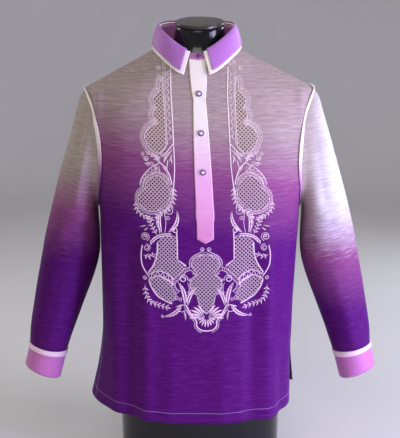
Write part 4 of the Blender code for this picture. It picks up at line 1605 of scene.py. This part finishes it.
# ---------------------------------------------------------------- operators


def piece(name):
    """A finished piece, which has to be there already."""
    found = bpy.data.objects.get(name)
    if found is None:
        raise RuntimeError(f"{name} isn't made yet")
    return found


class BARONG_OT_panels(bpy.types.Operator):
    """Make the sheer front and back"""

    bl_idname = "barong.panels"
    bl_label = "Front and Back"

    def execute(self, context):
        front = make_panel("front", -1)
        back = make_panel("back", 1)
        return {"FINISHED"}


class BARONG_OT_sleeves(bpy.types.Operator):
    """Make the two sleeves"""

    bl_idname = "barong.sleeves"
    bl_label = "Sleeves"

    def execute(self, context):
        for hand, side in HANDS:
            made = make_sleeve(hand, side)
        return {"FINISHED"}


class BARONG_OT_bands(bpy.types.Operator):
    """Make the cream bands over the armhole seams"""

    bl_idname = "barong.bands"
    bl_label = "Armhole Bands"

    def execute(self, context):
        guide = Shell(piece("shirt_front"), piece("shirt_back")).tree
        for hand, _ in HANDS:
            made = make_double(f"armhole_band_{hand}", band_cloth(), 1.0, guide)
        return {"FINISHED"}


class BARONG_OT_placket(bpy.types.Operator):
    """Make the placket on the front's opening"""

    bl_idname = "barong.placket"
    bl_label = "Placket"

    def execute(self, context):
        made = make_placket(Shell(piece("shirt_front")))
        return {"FINISHED"}


class BARONG_OT_collar(bpy.types.Operator):
    """Make the stand, the cream fall and the violet layer on it"""

    bl_idname = "barong.collar"
    bl_label = "Collar"

    def execute(self, context):
        stand = make_double("collar_stand", pink_cloth())
        fall = make_double("collar_fall", cream_cloth())
        top = make_double("collar_top", violet_cloth())
        return {"FINISHED"}


class BARONG_OT_cuffs(bpy.types.Operator):
    """Make the cuffs and their cream trims"""

    bl_idname = "barong.cuffs"
    bl_label = "Cuffs"

    def execute(self, context):
        for hand, _ in HANDS:
            cuff = make_double(f"cuff_{hand}", pink_cloth())
            trim = make_double(f"cuff_trim_{hand}", trim_cloth())
        return {"FINISHED"}


class BARONG_OT_net(bpy.types.Operator):
    """Make the openwork net in the embroidery's fields"""

    bl_idname = "barong.net"
    bl_label = "Openwork Net"

    def execute(self, context):
        make_net(Shell(piece("shirt_front")))
        return {"FINISHED"}


class BARONG_OT_embroidery(bpy.types.Operator):
    """Make the satin embroidery"""

    bl_idname = "barong.embroidery"
    bl_label = "Embroidery"

    def execute(self, context):
        shell = Shell(piece("shirt_front"))
        for name, drawings in DRAWINGS:
            work = Threadwork(shell)
            for side in (-1, 1):
                work.side = side
                for draw in drawings:
                    draw(work)
            work.finish(name, satin_thread(), "cream")
        return {"FINISHED"}


class BARONG_OT_stitches(bpy.types.Operator):
    """Make the stitches of the hem, slits, placket, collar and cuffs"""

    bl_idname = "barong.stitches"
    bl_label = "Stitches"

    def execute(self, context):
        for name, facing in (("front", -1), ("back", 1)):
            work = Seamwork()
            for run in hem_runs(Shell(piece(f"shirt_{name}")), facing):
                work.follow(run)
            work.finish(f"hem_stitches_{name}", seam_thread(), "cream")
        self.add_edge_stitches()
        return {"FINISHED"}

    def add_edge_stitches(self):
        """Stitches along the edges of the doubled pieces, and two rows across the placket's foot."""
        fine = 0.0006
        strip = Shell(piece("placket_strip"))
        light = Seamwork()
        for node, shell in (("placket", strip), ("collar_fall", Shell(piece("collar_fall_cloth")))):
            for run in edge_runs(node, 0.0020, shell):
                light.follow(run, fine)
        for z in (HEM + 0.437, HEM + 0.4348):
            places = line_at(z) + np.arange(-15, 16) * MM
            light.follow([strip.near(Vector((x, -0.14, z))) for x in places], fine)
        light.finish("placket_and_collar_stitches", cream_thread(), "cream")
        tone = Seamwork()
        for node, inset in (("collar_top", 0.0022), ("cuff_right", 0.0025), ("cuff_left", 0.0025)):
            for run in edge_runs(node, inset, Shell(piece(f"{node}_cloth"))):
                tone.follow(run, fine)
        tone.finish("collar_and_cuff_stitches", seam_thread(), "mauve")


class BARONG_OT_buttons(bpy.types.Operator):
    """Make the buttons of the placket, collar and cuffs"""

    bl_idname = "barong.buttons"
    bl_label = "Buttons"

    def execute(self, context):
        strip = Shell(piece("placket_strip"))
        for i in (1, 2, 3):
            make_button(f"button_{i}", f"placket_button_{i}", strip)
        make_button("button_neck", "collar_button", Shell(piece("collar_stand_cloth")))
        for hand, _ in HANDS:
            make_button(f"cuff_button_{hand}", f"cuff_{hand}_button", Shell(piece(f"cuff_{hand}_cloth")))
        return {"FINISHED"}


class BARONG_OT_torso(bpy.types.Operator):
    """Make the black display torso and its neck cap"""

    bl_idname = "barong.torso"
    bl_label = "Display Torso"

    def execute(self, context):
        torso = cad_copy("form_torso")
        join_quads(torso, [f for f in torso.faces if abs(f.normal.z) < 0.97])
        hold = torso.edges.layers.float.new("crease_edge")
        for edge in torso.edges:
            if len(edge.link_faces) == 2 and edge.calc_face_angle(0) > math.radians(60):
                edge[hold] = 1.0
        link("display_torso", smoothed(torso, 2), [torso_lacquer()], "form_torso")
        cap = cad_copy("form_neck_cap")
        bmesh.ops.dissolve_limit(cap, angle_limit=math.radians(2), verts=cap.verts, edges=cap.edges)
        sharp = [e for e in cap.edges if e.calc_face_angle(0) > math.radians(25)]
        bmesh.ops.bevel(
            cap, geom=sharp, offset=0.0009, segments=3, profile=0.5, affect="EDGES", material=-1
        )
        finished = link("neck_cap", cap, [cap_satin()], "form_neck_cap")
        finished.data.set_sharp_from_angle(angle=math.radians(40))
        return {"FINISHED"}


# Light colours, as they are in the scene
WARM = (1.0, 0.97, 0.95)
COOL = (0.82, 0.83, 1.0)
VIOLET = (0.50, 0.44, 1.0)


def area_light(name, place, aim, size, watts, tone):
    lamp = bpy.data.lights.new(name, "AREA")
    lamp.shape, lamp.size, lamp.size_y = "RECTANGLE", *size
    lamp.energy, lamp.color = watts, tone
    obj = bpy.data.objects.new(name, lamp)
    obj.location = place
    obj.rotation_euler = (Vector(aim) - Vector(place)).to_track_quat("-Z", "Y").to_euler()
    bpy.context.scene.collection.objects.link(obj)


# The floor: how far it lies flat, the radius of its sweep up, and its height all round
FLAT = 3.2
SWEEP = 1.3
WALL = 4.0


class BARONG_OT_studio(bpy.types.Operator):
    """Set the camera, the lights and the floor"""

    bl_idname = "barong.studio"
    bl_label = "Studio"

    def execute(self, context):
        studio = settings("studio")
        scene = context.scene
        lens = bpy.data.cameras.new("camera")
        lens.lens, lens.sensor_width, lens.sensor_fit = studio.lens, 36.0, "AUTO"
        camera = bpy.data.objects.new("camera", lens)
        camera.location = (0, -studio.distance, studio.height)
        camera.rotation_euler = (math.pi / 2 - studio.pitch, 0, 0)
        scene.collection.objects.link(camera)
        scene.camera = camera
        for name, place, aim, size, watts, tone in (
            ("front_softbox", (-0.45, -2.4, 2.1), (0, 0, 0.55), (1.5, 1.2), studio.key, WARM),
            ("cool_side", (2.3, -0.9, 1.25), (0.1, 0, 0.5), (0.8, 1.6), studio.side, COOL),
            ("violet_side", (1.5, -1.1, 0.45), (0.16, -0.05, 0.26), (0.3, 0.5), studio.violet, VIOLET),
            ("right_edge", (1.5, 1.4, 1.3), (0.2, 0, 0.5), (0.5, 1.4), studio.rim, (0.80, 0.88, 1.0)),
            ("left_edge", (-1.7, 1.0, 1.4), (-0.2, 0, 0.6), (0.5, 1.4), studio.rim / 2, (1.0, 0.98, 0.95)),
        ):
            area_light(name, place, aim, size, watts, tone)
        world = scene.world or bpy.data.worlds.new("studio")
        scene.world = world
        world.use_nodes = True
        sky = world.node_tree.nodes["Background"]
        sky.inputs["Color"].default_value = (0.92, 0.94, 1.0, 1)
        sky.inputs["Strength"].default_value = 0.42
        scene.view_settings.view_transform = "Standard"
        self.add_floor()
        return {"FINISHED"}

    def add_floor(self):
        """A round floor that sweeps up into a backdrop on every side."""
        turns = [math.pi / 2 * i / 10 for i in range(11)]
        sweep = [(FLAT + SWEEP * math.sin(t), SWEEP - SWEEP * math.cos(t)) for t in turns]
        made = spun([(0, 0), *sweep, (FLAT + SWEEP, WALL)], 64)
        made.normal_update()
        if sum(f.normal.z for f in made.faces) < 0:
            bmesh.ops.reverse_faces(made, faces=made.faces)
        as_object("studio_floor", made, [floor_paint()])


OPERATORS = (
    BARONG_OT_panels,
    BARONG_OT_sleeves,
    BARONG_OT_bands,
    BARONG_OT_placket,
    BARONG_OT_collar,
    BARONG_OT_cuffs,
    BARONG_OT_net,
    BARONG_OT_embroidery,
    BARONG_OT_stitches,
    BARONG_OT_buttons,
    BARONG_OT_torso,
    BARONG_OT_studio,
)


class BARONG_PT_sidebar(bpy.types.Panel):
    """Lists the shirt's pieces and settings"""

    bl_label = "Barong Shirt"
    bl_idname = "BARONG_PT_sidebar"
    bl_space_type = "VIEW_3D"
    bl_region_type = "UI"
    bl_category = "Barong"

    def draw(self, context):
        for operator in OPERATORS:
            self.layout.operator(operator.bl_idname)
        for name, group in SETTINGS.items():
            part = self.layout.box()
            part.label(text=group.__doc__)
            values = getattr(context.scene, name)
            for key in group.__annotations__:
                part.prop(values, key)


CLASSES = (*SETTINGS.values(), *OPERATORS, BARONG_PT_sidebar)


def register():
    for cls in CLASSES:
        bpy.utils.register_class(cls)
    for name, group in SETTINGS.items():
        setattr(bpy.types.Scene, name, bpy.props.PointerProperty(type=group))


def unregister():
    for name in SETTINGS:
        delattr(bpy.types.Scene, name)
    for cls in reversed(CLASSES):
        bpy.utils.unregister_class(cls)


def main():
    register()
    for operator in OPERATORS:
        part, name = operator.bl_idname.split(".")
        getattr(getattr(bpy.ops, part), name)()


if __name__ == "__main__":
    main()
